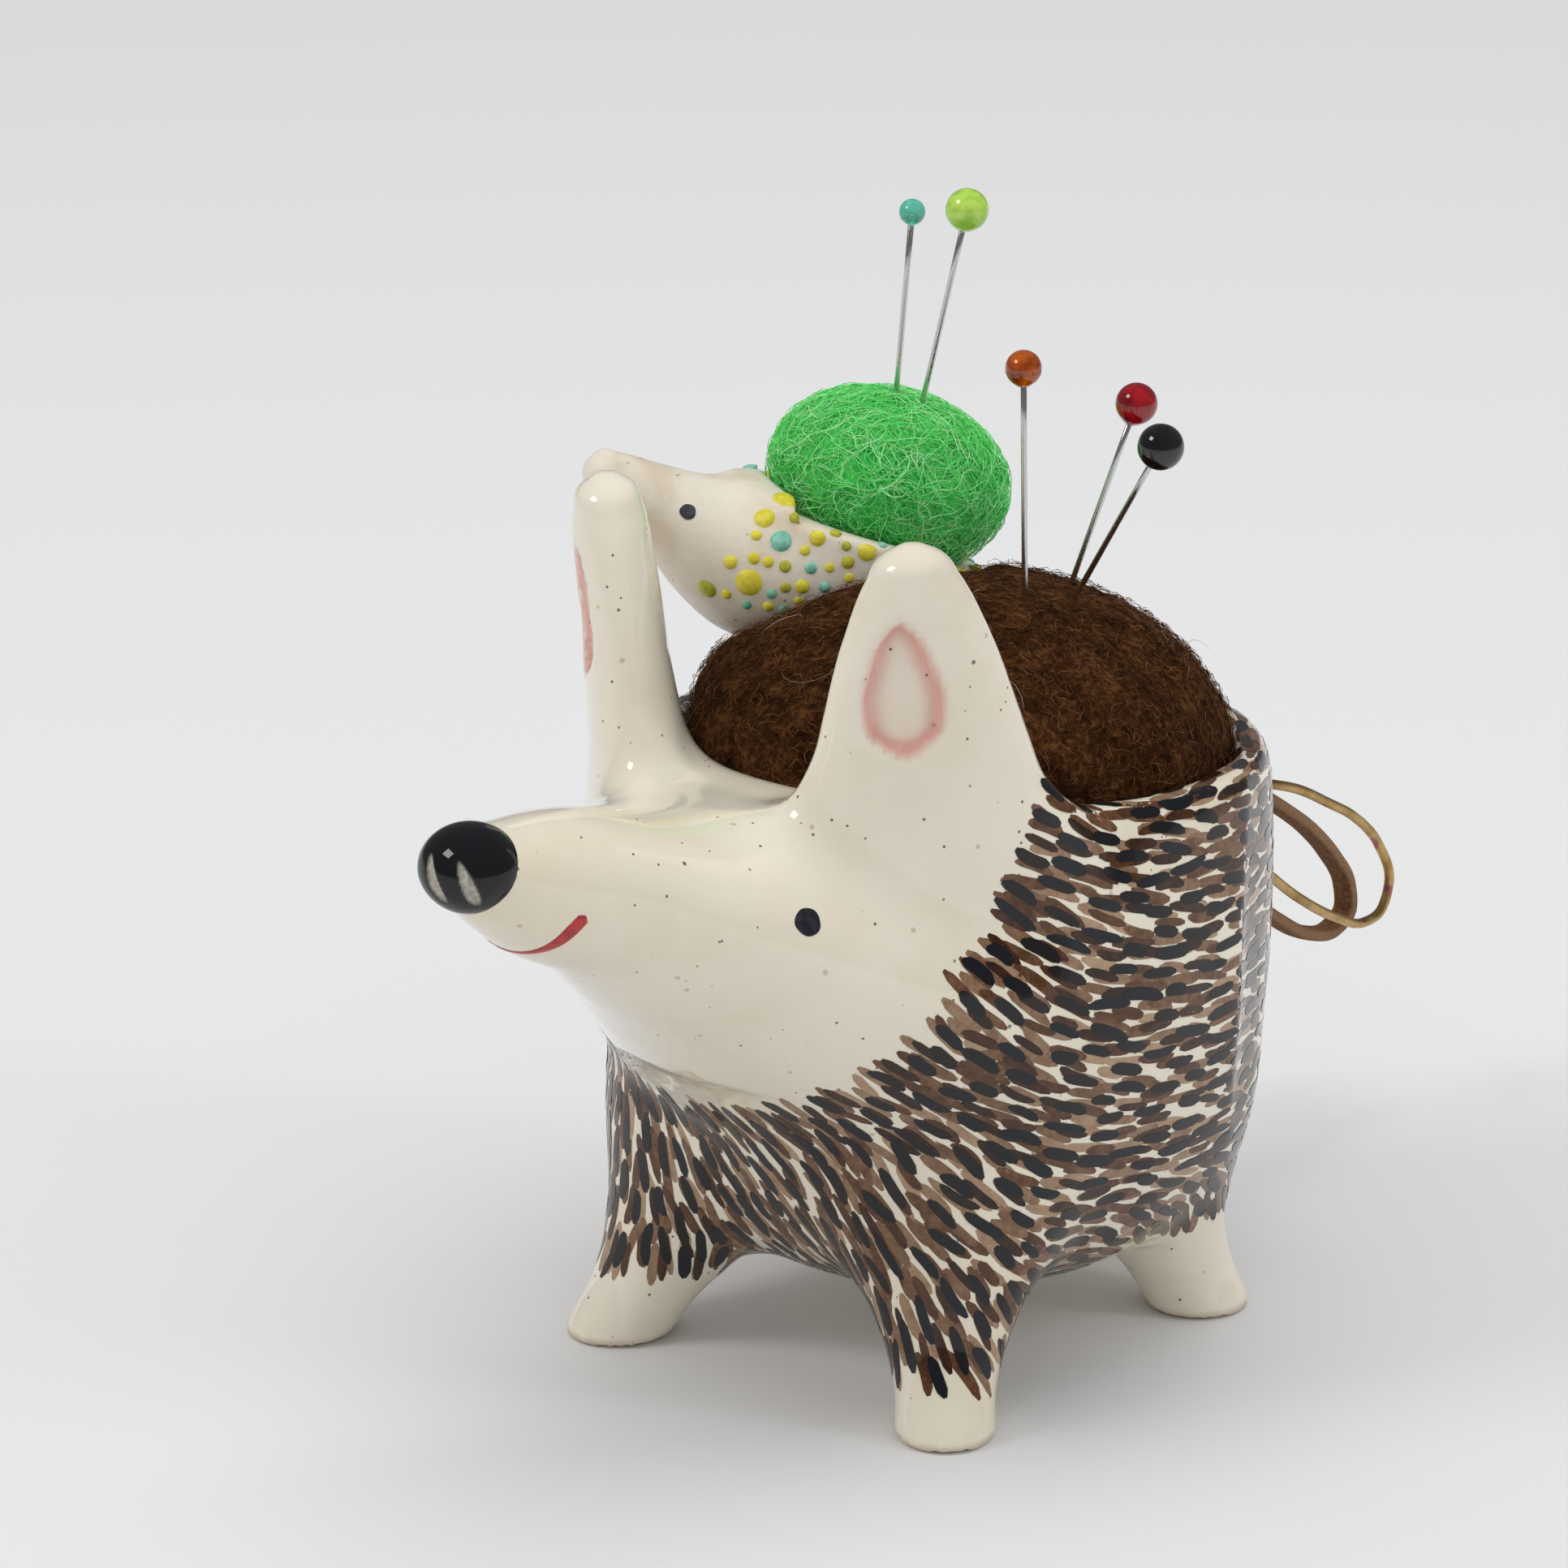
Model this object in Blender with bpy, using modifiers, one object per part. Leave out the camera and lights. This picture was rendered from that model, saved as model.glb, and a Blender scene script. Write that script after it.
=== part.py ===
"""Hedgehog pincushion: a footed clay pot with a stuffed wool cushion, a baby hedgehog pressed into
the wool, five ball-headed pins, and a tail of one wire loop and one suede lace loop.

Metres, +Z up. The hedgehog faces -Y and its left side is +X. Every part is laid out in the hedgehog's
own frame, which has its origin on the ground between the four feet, and hangs from one empty.
"""
import math

import bmesh
import bpy
import numpy as np
from mathutils import Euler, Matrix, Vector

MM = 0.001
GAP = 0.3 * MM                       # clearance between pieces that touch

# Where the frame's origin lies: the middle of the footprint of everything but the lace
LAYOUT_SHIFT = Vector((1.8, -5.8, 0.0)) * MM

# Pot
POT_HALF_WIDTH = 25.5 * MM
POT_HALF_LENGTH = 27.5 * MM
POT_CENTRE_Y = 7.0 * MM
POT_BOTTOM = 6.6 * MM
POT_HEIGHT = 51.4 * MM               # the lip's height at the pot's middle
LIP_FALL = 0.06                      # how steeply the lip falls from the front to the back
POT_WALL = 2.8 * MM
POT_FLOOR = 4.4 * MM

# Head, as stations along -Y
NOSE_TIP_Y = -58.8 * MM
NOSE_CENTRE = Vector((0.0, -54.9 * MM, POT_HEIGHT + 4.0 * MM))
NOSE_HALF_SIZE = Vector((4.1, 4.0, 3.5)) * MM

# Ears
EAR_BASE = Vector((POT_HALF_WIDTH - 10.3 * MM, -15.5 * MM, POT_HEIGHT - 5.4 * MM))
EAR_TIP = Vector((POT_HALF_WIDTH - 9.3 * MM, -19.4 * MM, POT_HEIGHT + 24.5 * MM))
EAR_HALF_WIDTH = 12.6 * MM
EAR_HALF_THICKNESS = 4.2 * MM
EAR_FACES = math.radians(50)         # from straight ahead towards the hedgehog's side
EAR_HOLLOW_DEPTH = 0.8 * MM
EAR_HOLLOW_ASIDE = 0.9 * MM          # towards the ear's front edge

# Legs
FOOT_SPACING_X = 35.2 * MM
FRONT_FOOT_Y = -17.5 * MM
BACK_FOOT_Y = 18.5 * MM
FOOT_RADIUS = 4.1 * MM
LEG_TOP = 18.0 * MM
LEG_TOP_INSET = 5.4 * MM             # how far each leg leans in under the belly

# Tail
TAIL_HOLE_HEIGHT = POT_HEIGHT - 14.4 * MM
TAIL_HOLE_RADIUS = 3.2 * MM
WIRE_DIAMETER = 0.9 * MM
LACE_DIAMETER = 2.2 * MM
WIRE_SIDE = 1.5 * MM                 # the wire runs on the hedgehog's left of the hole
LACE_SIDE = -1.1 * MM
KNOT_ROOM = Vector((8.8, 7.6, 6.2)) * MM   # half size of the dent the knot makes in the cushion

# Cushion
CUSHION_GAP = 0.4 * MM
CROWN_HEIGHT = 14.0 * MM             # of the dome above the lip
COVER_THICKNESS = 1.4 * MM
NECK_RADIUS = 3.6 * MM               # the gathered opening under the cushion
THREAD_RADIUS = 0.5 * MM
GLUE_THICKNESS = 1.0 * MM

# Baby hedgehog, laid out in its own frame round the middle of its wool ball
BABY_X = -13.3 * MM
BABY_Y = 14.4 * MM
BABY_OVER_CROWN = 8.5 * MM           # how far its middle is above the undented wool
BABY_TURN = math.radians(-34.4)
BABY_PITCH = math.radians(-15.0)
BABY_HALF_WIDTH = 11.2 * MM
BABY_HALF_LENGTH = 11.8 * MM
BABY_RIM = -3.6 * MM
BABY_BOTTOM = -14.2 * MM
BALL_HALF_WIDTH = 10.2 * MM
BALL_CROWN = 7.8 * MM

# Pins
PIN_LENGTH = 24.0 * MM
PIN_RADIUS = 0.25 * MM
PIN_TAPER = 3.0 * MM

STEPS = 48                           # sides of the round forms
CUTTER_REACH = 100.0 * MM            # beyond everything


def material(name, colour, roughness, metallic=0.0):
    finish = bpy.data.materials.new(name)
    finish.use_nodes = True
    shader = finish.node_tree.nodes["Principled BSDF"]
    shader.inputs["Base Color"].default_value = (*colour, 1.0)
    shader.inputs["Roughness"].default_value = roughness
    shader.inputs["Metallic"].default_value = metallic
    return finish


def new_collection(name):
    group = bpy.data.collections.new(name)
    bpy.context.scene.collection.children.link(group)
    return group


def clear_scene():
    for old in list(bpy.data.objects):
        bpy.data.objects.remove(old, do_unlink=True)


def add_object(name, mesh, group):
    made = bpy.data.objects.new(name, mesh)
    group.objects.link(made)
    return made


def as_part(made, finish):
    """Give a finished part its material and smooth shading."""
    made.data.materials.clear()
    made.data.materials.append(finish)
    made.data.shade_smooth()
    made.data.set_sharp_from_angle(angle=math.radians(40))
    return made


def as_cutter(made):
    made.hide_render = True
    made.display_type = "WIRE"
    return made


def smooth_steps(value, at, heights):
    """Smooth curve through stations, each with the slope of its neighbours."""
    at, heights = np.asarray(at, float), np.asarray(heights, float)
    slope = np.gradient(heights, at)
    left = np.clip(np.searchsorted(at, value) - 1, 0, len(at) - 2)
    span = at[left + 1] - at[left]
    t = np.clip((value - at[left]) / span, 0.0, 1.0)
    return ((2 * t**3 - 3 * t**2 + 1) * heights[left] + (t**3 - 2 * t**2 + t) * span * slope[left]
            + (3 * t**2 - 2 * t**3) * heights[left + 1] + (t**3 - t**2) * span * slope[left + 1])


def evaluated_mesh(made):
    bpy.context.view_layer.update()
    graph = bpy.context.evaluated_depsgraph_get()
    return bpy.data.meshes.new_from_object(made.evaluated_get(graph))


def bake(made):
    """Replace an object's mesh with what its modifiers make of it."""
    mesh = evaluated_mesh(made)
    made.modifiers.clear()
    made.data = mesh
    return made


def turned(name, profile, group, steps=STEPS):
    """Turned solid from (radius, height) points that run down the outside, top to bottom."""
    mesh = bpy.data.meshes.new(name)
    points = [(radius, 0.0, height) for radius, height in profile]
    mesh.from_pydata(points, [(i, i + 1) for i in range(len(points) - 1)], [])
    made = add_object(name, mesh, group)
    screw = made.modifiers.new("turn", "SCREW")
    screw.steps = screw.render_steps = steps
    screw.use_merge_vertices = True
    screw.merge_threshold = 0.000001
    return bake(made)


def loft(name, rings, group):
    """Closed solid through rings of points, each ring given in the same sense."""
    sides = len(rings[0])
    mesh = bpy.data.meshes.new(name)
    shape = bmesh.new()
    rows = [[shape.verts.new(point) for point in ring] for ring in rings]
    for lower, upper in zip(rows, rows[1:]):
        for i in range(sides):
            shape.faces.new((lower[i], lower[(i + 1) % sides], upper[(i + 1) % sides], upper[i]))
    shape.faces.new(rows[0])
    shape.faces.new(reversed(rows[-1]))
    bmesh.ops.recalc_face_normals(shape, faces=shape.faces)
    shape.to_mesh(mesh)
    shape.free()
    return add_object(name, mesh, group)


def oval(centre, side, up, half_side, half_up, count=24):
    """Ring of points on an ellipse spanned by two directions."""
    angles = [2 * math.pi * i / count for i in range(count)]
    return [centre + side * (half_side * math.cos(a)) + up * (half_up * math.sin(a)) for a in angles]


def ellipsoid(name, centre, half_size, group, detail=32):
    mesh = bpy.data.meshes.new(name)
    shape = bmesh.new()
    bmesh.ops.create_uvsphere(shape, u_segments=detail, v_segments=detail // 2, radius=1.0)
    for vertex in shape.verts:
        vertex.co = centre + Vector(a * b for a, b in zip(vertex.co, half_size))
    shape.to_mesh(mesh)
    shape.free()
    return add_object(name, mesh, group)


def rod(name, start, end, radius, group, sides=24):
    """Straight cylinder between two points."""
    mesh = bpy.data.meshes.new(name)
    shape = bmesh.new()
    along = end - start
    turn = along.to_track_quat("Z", "Y").to_matrix().to_4x4()
    place = Matrix.Translation((start + end) / 2) @ turn
    bmesh.ops.create_cone(shape, cap_ends=True, segments=sides, radius1=radius, radius2=radius,
                          depth=along.length, matrix=place)
    shape.to_mesh(mesh)
    shape.free()
    return add_object(name, mesh, group)


def block(name, low, high, group):
    mesh = bpy.data.meshes.new(name)
    shape = bmesh.new()
    bmesh.ops.create_cube(shape, size=1.0)
    for vertex in shape.verts:
        vertex.co = Vector(low[i] + (high[i] - low[i]) * (vertex.co[i] + 0.5) for i in range(3))
    shape.to_mesh(mesh)
    shape.free()
    return add_object(name, mesh, group)


def tube(name, points, radius, group, resolution=2, cyclic=False):
    """Round wire through points, made a closed mesh."""
    curve = bpy.data.curves.new(name, "CURVE")
    curve.dimensions = "3D"
    curve.bevel_depth = radius
    curve.bevel_resolution = resolution
    curve.use_fill_caps = not cyclic
    line = curve.splines.new("POLY")
    line.points.add(len(points) - 1)
    for spot, point in zip(line.points, points):
        spot.co = (*point, 1.0)
    line.use_cyclic_u = cyclic
    guide = add_object(name + "_guide", curve, group)
    mesh = evaluated_mesh(guide)
    shape = bmesh.new()
    shape.from_mesh(mesh)
    bmesh.ops.remove_doubles(shape, verts=shape.verts, dist=0.00001)
    bmesh.ops.recalc_face_normals(shape, faces=shape.faces)
    shape.to_mesh(mesh)
    shape.free()
    made = add_object(name, mesh, group)
    made.matrix_world = guide.matrix_world.copy()
    bpy.data.objects.remove(guide, do_unlink=True)
    return made


def smooth_path(knots, spacing):
    """Points at a steady spacing along a smooth curve through the knots."""
    knots = np.array([list(k) for k in knots], float)
    chord = np.concatenate([[0.0], np.cumsum(np.linalg.norm(np.diff(knots, axis=0), axis=1))])
    fine = np.linspace(0.0, chord[-1], 600)
    curve = np.stack([smooth_steps(fine, chord, knots[:, i]) for i in range(3)], axis=1)
    run = np.concatenate([[0.0], np.cumsum(np.linalg.norm(np.diff(curve, axis=0), axis=1))])
    count = max(2, int(round(run[-1] / spacing)))
    even = np.linspace(0.0, run[-1], count + 1)
    return [Vector(np.interp(s, run, curve[:, i]) for i in range(3)) for s in even]


def join(name, pieces, group):
    """Several overlapping solids as one object, for a remesh to fuse."""
    shape = bmesh.new()
    for piece in pieces:
        shape.from_mesh(piece.data)
        bpy.data.objects.remove(piece, do_unlink=True)
    mesh = bpy.data.meshes.new(name)
    shape.to_mesh(mesh)
    shape.free()
    return add_object(name, mesh, group)


def fuse(made, voxel, smoothing, fillet=0.0, keep=1.0):
    """Turn overlapping or sharp forms into one soft skin, as wet clay or pressed wool would be.

    A fillet swells the skin, fuses it again and draws it back, which fills its inner corners.
    """
    for swell in (0.0, fillet, -fillet) if fillet else (0.0,):
        if swell:
            shift = made.modifiers.new("swell", "DISPLACE")
            shift.strength = swell
            shift.mid_level = 0.0
        remesh = made.modifiers.new("fuse", "REMESH")
        remesh.mode = "VOXEL"
        remesh.voxel_size = voxel
        soften = made.modifiers.new("soften", "SMOOTH")
        soften.factor = 0.5
        soften.iterations = smoothing
    if keep < 1.0:
        thin = made.modifiers.new("thin", "DECIMATE")
        thin.ratio = keep
    return bake(made)


def cut(made, cutters):
    for cutter in cutters:
        difference = made.modifiers.new(cutter.name, "BOOLEAN")
        difference.operation = "DIFFERENCE"
        difference.solver = "EXACT"
        difference.object = cutter
    bpy.context.view_layer.update()
    return bake(made)


def grown(name, source, amount, group):
    """Copy of a closed form, moved out (or in) along its normals."""
    made = add_object(name, source.data.copy(), group)
    swell = made.modifiers.new("swell", "DISPLACE")
    swell.strength = amount
    swell.mid_level = 0.0
    return bake(made)


# ---------------------------------------------------------------- pot and head

def pot_radius(height):
    """Share of the pot's full half width at a height: a round belly under nearly upright walls."""
    at = np.array([0.0, 0.03, 0.075, 0.14, 0.23, 0.34, 0.48, 0.65, 0.84, 1.0]) * (POT_HEIGHT - POT_BOTTOM)
    share = [0.05, 0.36, 0.58, 0.76, 0.87, 0.935, 0.98, 1.0, 0.995, 0.98]
    return smooth_steps(height - POT_BOTTOM, at, share)


def seat_in_pot(made):
    """Stretch a turned form to the pot's oval, tilt its lip and set it at the pot's middle."""
    stretch = POT_HALF_LENGTH / POT_HALF_WIDTH
    for vertex in made.data.vertices:
        x, y, z = vertex.co
        y *= stretch
        vertex.co = (x, y + POT_CENTRE_Y, z - LIP_FALL * y * max(0.0, z / POT_HEIGHT) ** 2)
    return made


def pot_form(group):
    heights = np.linspace(POT_HEIGHT, POT_BOTTOM, 24)
    wall = [(POT_HALF_WIDTH * pot_radius(z), z) for z in heights]
    return seat_in_pot(turned("pot_form", [(0.0, POT_HEIGHT)] + wall + [(0.0, POT_BOTTOM)], group))


def pot_hollow(group):
    floor = POT_BOTTOM + POT_FLOOR
    heights = np.linspace(POT_HEIGHT, floor, 16)
    wall = [(POT_HALF_WIDTH * pot_radius(z) - POT_WALL, z) for z in heights]
    mouth = (wall[0][0], POT_HEIGHT + 30 * MM)
    profile = [(0.0, mouth[1]), mouth] + wall + [(0.0, floor)]
    return as_cutter(seat_in_pot(turned("pot_hollow", profile, group)))


def head_form(group):
    """Cone from inside the pot to the snout: y, height, half width and half height of each station."""
    tip = NOSE_TIP_Y
    broad = POT_HALF_WIDTH / 25.5      # the cheeks are as wide as the pot they grow out of
    stations = (
        (tip + 0.8 * MM, 3.9, 1.5 * MM, 1.5), (tip + 4.8 * MM, 2.8, 4.3 * MM, 4.0),
        (tip + 8.8 * MM, 1.6, 5.2 * MM, 5.0), (tip + 14.8 * MM, -0.4, 7.2 * MM, 6.2),
        (tip + 22.8 * MM, -4.5, 11.2 * MM, 8.9), (tip + 30.8 * MM, -8.5, 16.2 * broad, 11.6),
        (tip + 38.8 * MM, -12.2, 19.8 * broad, 12.8), (tip + 46.8 * MM, -15.0, 22.0 * broad, 13.6),
        (tip + 64.8 * MM, -17.4, 20.0 * broad, 12.0))
    ys, over, widths, talls = (list(column) for column in zip(*stations))
    rings = []
    for y in np.linspace(ys[0], ys[-1], 26):
        height = POT_HEIGHT + smooth_steps(y, ys, over) * MM
        wide, tall = smooth_steps(y, ys, widths), smooth_steps(y, ys, talls) * MM
        rings.append(oval(Vector((0.0, y, height)), Vector((1, 0, 0)), Vector((0, 0, 1)), wide, tall, 40))
    return loft("head_form", rings, group)


def ear_frame(side):
    """An ear's base, length and directions: along it, out of its face, and across it."""
    base = Vector((EAR_BASE.x * side, EAR_BASE.y, EAR_BASE.z))
    tip = Vector((EAR_TIP.x * side, EAR_TIP.y, EAR_TIP.z))
    along = (tip - base).normalized()
    face = Vector((math.sin(EAR_FACES) * side, -math.cos(EAR_FACES), 0.0))
    face = (face - along * face.dot(along)).normalized()
    return base, (tip - base).length, along, face, along.cross(face)


def ear_form(side, group):
    base, length, along, face, across = ear_frame(side)
    at = (-0.4, -0.15, 0.1, 0.28, 0.5, 0.75, 0.9, 0.97, 1.0)
    width = (0.35, 0.72, 0.88, 0.8, 0.66, 0.48, 0.35, 0.24, 0.1)
    depth = (0.2, 0.6, 0.95, 0.9, 0.82, 0.76, 0.68, 0.5, 0.2)
    rings = []
    for share in np.linspace(at[0], 1.0, 24):
        wide = EAR_HALF_WIDTH * smooth_steps(share, at, width)
        thick = EAR_HALF_THICKNESS * smooth_steps(share, at, depth)
        rings.append(oval(base + along * (share * length), across, face, wide, thick, 24))
    return loft("ear_form", rings, group)


def ear_hollow(side, group):
    """Drop-shaped hollow in the ear's face, round below and pointed above."""
    base, length, along, face, across = ear_frame(side)
    at = (0.43, 0.48, 0.57, 0.68, 0.78, 0.82)
    width = np.array((0.5, 2.7, 3.5, 2.9, 1.3, 0.3)) * MM
    surface = (0.86, 0.83, 0.80, 0.77, 0.75, 0.73)
    proud = 4.0 * MM
    rings = []
    for share in np.linspace(at[0], at[-1], 14):
        wide = smooth_steps(share, at, width)
        skin = EAR_HALF_THICKNESS * smooth_steps(share, at, surface)
        centre = base + along * (share * length) + face * (skin + proud - EAR_HOLLOW_DEPTH)
        centre -= across * (EAR_HOLLOW_ASIDE * side)
        rings.append(oval(centre, across, face, wide, proud, 20))
    name = "ear_hollow_left" if side > 0 else "ear_hollow_right"
    return as_cutter(loft(name, rings, group))


def leg_form(side, foot_y, group):
    """Leg that flares out into the belly above and stands on a round foot."""
    foot = Vector((side * FOOT_SPACING_X / 2, foot_y, 0.0))
    lean = Vector((-side, -math.copysign(1.0, foot_y), 0.0)) * LEG_TOP_INSET
    at = (0.0, 0.25, 0.5, 0.75, 1.0, 1.2, 1.3)
    radius = (1.0, 1.02, 1.14, 1.36, 1.55, 1.2, 0.4)
    rings = []
    for share in np.linspace(0.0, at[-1], 16):
        centre = foot + lean * share + Vector((0, 0, share * LEG_TOP - 0.6 * MM))
        r = FOOT_RADIUS * smooth_steps(share, at, radius)
        rings.append(oval(centre, Vector((1, 0, 0)), Vector((0, 1, 0)), r, r, 28))
    return loft("leg_form", rings, group)


def tail_point():
    """Middle of the tail hole, half way through the back wall."""
    share = pot_radius(TAIL_HOLE_HEIGHT)
    outside = POT_CENTRE_Y + POT_HALF_LENGTH * share
    return Vector((0.0, outside - POT_WALL * 0.55, TAIL_HOLE_HEIGHT))


def tail_hole(group):
    middle = tail_point()
    reach = Vector((0.0, POT_WALL * 2.2, 0.0))
    return as_cutter(rod("tail_hole", middle - reach, middle + reach, TAIL_HOLE_RADIUS, group))


def mother_body(parts, cutters):
    pieces = [pot_form(parts), head_form(parts)]
    pieces.append(ellipsoid("nose_form", NOSE_CENTRE, NOSE_HALF_SIZE, parts))
    for side in (1, -1):
        pieces.append(ear_form(side, parts))
        for foot_y in (FRONT_FOOT_Y, BACK_FOOT_Y):
            pieces.append(leg_form(side, foot_y, parts))
    body = fuse(join("mother_body", pieces, parts), 0.9 * MM, 3, fillet=4.0 * MM)
    body = cut(body, [pot_hollow(cutters)])
    body = fuse(body, 0.85 * MM, 4, keep=0.06)
    reach = Vector((CUTTER_REACH, CUTTER_REACH, 0.0))
    ground = block("ground", -reach - Vector((0, 0, CUTTER_REACH)), reach, cutters)
    hollows = [ear_hollow(side, cutters) for side in (1, -1)]
    cut(body, [as_cutter(ground), tail_hole(cutters)] + hollows)
    return as_part(body, material("glazed_stoneware", (0.80, 0.74, 0.60), 0.25))


# ---------------------------------------------------------------- baby hedgehog

def baby_place():
    """Middle of the baby's wool ball: it rides on the crown of the cushion."""
    return Vector((BABY_X, BABY_Y, crown_height(BABY_X, BABY_Y) + BABY_OVER_CROWN))


def baby_matrix():
    return Matrix.Translation(baby_place()) @ Euler((BABY_PITCH, 0.0, BABY_TURN)).to_matrix().to_4x4()


def place_in_baby(made):
    made.data.transform(baby_matrix())
    return made


def baby_form(group):
    """Round pot with a cone of a head, in the baby's own frame."""
    height = (BABY_RIM - BABY_BOTTOM) * 1.18
    middle = Vector((0.0, 0.0, BABY_BOTTOM + height))
    pot = ellipsoid("baby_pot", middle, Vector((BABY_HALF_WIDTH, BABY_HALF_LENGTH, height)), group)
    stations = (
        (-26.3, -4.2, 0.8, 0.8), (-25.4, -4.2, 1.9, 1.8), (-23.5, -4.6, 2.6, 2.3), (-20.0, -6.0, 4.0, 3.4),
        (-16.0, -7.9, 6.0, 5.0), (-11.4, -9.0, 8.2, 6.4), (-6.0, -8.6, 9.4, 6.6), (0.0, -8.2, 9.0, 5.6))
    ys = [s[0] * MM for s in stations]
    rings = []
    for y in np.linspace(ys[0], ys[-1], 20):
        height, wide, tall = (smooth_steps(y, ys, [s[i] * MM for s in stations]) for i in (1, 2, 3))
        rings.append(oval(Vector((0.0, y, height)), Vector((1, 0, 0)), Vector((0, 0, 1)), wide, tall, 24))
    return [pot, loft("baby_head", rings, group)]


def ball_profile(grow=0.0):
    """The wool ball: a full crown over a smaller round underside."""
    under = (BABY_RIM - BABY_BOTTOM) * 0.72
    angles = np.linspace(math.pi / 2, -math.pi / 2, 17)
    profile = []
    for a in angles:
        tall = BALL_CROWN if a > 0 else under - BABY_RIM * 0.1
        profile.append(((BALL_HALF_WIDTH + grow) * max(0.0, math.cos(a)), (tall + grow) * math.sin(a)))
    profile[0] = (0.0, profile[0][1])
    profile[-1] = (0.0, profile[-1][1])
    return profile


def baby_body(parts, cutters):
    body = fuse(join("baby_body", baby_form(parts), parts), 0.55 * MM, 8)
    rim = block("baby_rim", Vector((-20, -12.6, BABY_RIM / MM)) * MM, Vector((20, 20, 20)) * MM, cutters)
    hollow = turned("baby_hollow", ball_profile(GAP), cutters, 32)
    body = cut(body, [as_cutter(rim), as_cutter(hollow)])
    body = fuse(body, 0.5 * MM, 3, keep=0.075)
    place_in_baby(rim)
    place_in_baby(hollow)
    return as_part(place_in_baby(body), material("bisque_clay", (0.78, 0.70, 0.56), 0.7))


def baby_wool_ball(parts, cutters, channels):
    ball = turned("baby_wool_ball", ball_profile(), parts, 24)
    place_in_baby(ball)
    ball = cut(ball, channels)
    return as_part(ball, material("green_wool", (0.10, 0.75, 0.25), 0.95))


# ---------------------------------------------------------------- cushion

def crown_height(x, y):
    """Height of the dome's surface over a point, before anything is pressed into it."""
    wide = POT_HALF_WIDTH * 0.98 - POT_WALL - CUSHION_GAP
    long = POT_HALF_LENGTH * 0.98 - POT_WALL - CUSHION_GAP
    share = math.sqrt(max(0.0, 1.0 - (x / wide) ** 2 - ((y - POT_CENTRE_Y) / long) ** 2))
    return POT_HEIGHT - 1.6 * MM + CROWN_HEIGHT * share


def cushion_floor():
    return POT_BOTTOM + POT_FLOOR + GLUE_THICKNESS + 2 * THREAD_RADIUS + 4 * GAP


def cushion_form(group, pressing):
    """Stuffed ball that fills the pot and domes over its lip, with dents where things press on it."""
    lip = POT_HEIGHT - 1.6 * MM
    rim = POT_HALF_WIDTH * 0.98 - POT_WALL - CUSHION_GAP
    crown = [(rim * math.sin(a), lip + CROWN_HEIGHT * math.cos(a)) for a in np.linspace(0, math.pi / 2, 14)]
    wall = [(POT_HALF_WIDTH * pot_radius(z) - POT_WALL - CUSHION_GAP, z)
            for z in np.linspace(lip, cushion_floor(), 14)[1:]]
    form = seat_in_pot(turned("cushion_form", crown + wall + [(0.0, cushion_floor())], group))
    form = cut(form, pressing)
    return fuse(form, 1.1 * MM, 5)


def pressed_shapes(baby, cutters):
    """What presses into the cushion: the baby's belly and the tail's knot, each with room round it."""
    room = grown("baby_room", baby, 0.9 * MM, cutters)
    hull = bmesh.new()
    for vertex in room.data.vertices:
        hull.verts.new(vertex.co)
    bmesh.ops.convex_hull(hull, input=hull.verts)
    loose = [v for v in hull.verts if not v.link_faces]
    bmesh.ops.delete(hull, geom=loose, context="VERTS")
    hull.to_mesh(room.data)
    hull.free()
    skin = (POT_WALL + CUSHION_GAP) * POT_HALF_LENGTH / POT_HALF_WIDTH
    pocket_centre = tail_point() + Vector((-1.2 * MM, POT_WALL * 0.55 - skin - 5.09 * MM, 0.0))
    pocket = ellipsoid("tail_pocket", pocket_centre, KNOT_ROOM, cutters)
    return [as_cutter(room), as_cutter(pocket)]


def pot_centre(height):
    return Vector((0.0, POT_CENTRE_Y, height))


def cushion(parts, cutters, baby, channels):
    form = cushion_form(cutters, pressed_shapes(baby, cutters))
    lining = grown("cover_inside", form, -COVER_THICKNESS, cutters)
    inside = as_cutter(fuse(lining, 1.1 * MM, 1, keep=0.05))
    neck = rod("neck", pot_centre(cushion_floor() - 2 * MM), pot_centre(cushion_floor() + 4 * MM),
               NECK_RADIUS, cutters)
    cover = add_object("cushion_cover", form.data.copy(), parts)
    thin = cover.modifiers.new("thin", "DECIMATE")
    thin.ratio = 0.075
    bake(cover)
    cut(cover, [inside, as_cutter(neck)] + channels)
    as_part(cover, material("brown_wool", (0.09, 0.045, 0.02), 0.95))
    filling = grown("cushion_stuffing", inside, -3 * GAP, parts)
    cut(filling, channels)
    as_part(filling, material("stuffing", (0.85, 0.83, 0.78), 0.9))
    bpy.data.objects.remove(form, do_unlink=True)
    return cover, filling


def gathering_thread(parts):
    """Turn of thread that draws the cover's mouth together under the cushion."""
    height = cushion_floor() - THREAD_RADIUS - GAP
    count = 28
    ring = [pot_centre(height) + Vector((math.cos(a), math.sin(a), 0.0)) * (NECK_RADIUS + 1.2 * MM)
            for a in (2 * math.pi * i / count for i in range(count))]
    return as_part(tube("gathering_thread", ring, THREAD_RADIUS, parts, 1, cyclic=True),
                   material("thread", (0.10, 0.06, 0.04), 0.8))


def glue_pad(parts):
    """Disc of glue that holds the cushion to the pot's floor."""
    low = POT_BOTTOM + POT_FLOOR + GAP + 0.2 * MM
    radius = POT_HALF_WIDTH * pot_radius(low) - POT_WALL - 3.0 * MM
    pad = turned("cushion_glue", [(0.0, low + GLUE_THICKNESS), (radius * 0.9, low + GLUE_THICKNESS),
                                  (radius, low), (0.0, low)], parts, 32)
    pad.data.transform(Matrix.Translation((0.0, POT_CENTRE_Y, 0.0)))
    return as_part(pad, material("clear_glue", (0.82, 0.80, 0.70), 0.3))


# ---------------------------------------------------------------- tail

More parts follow.
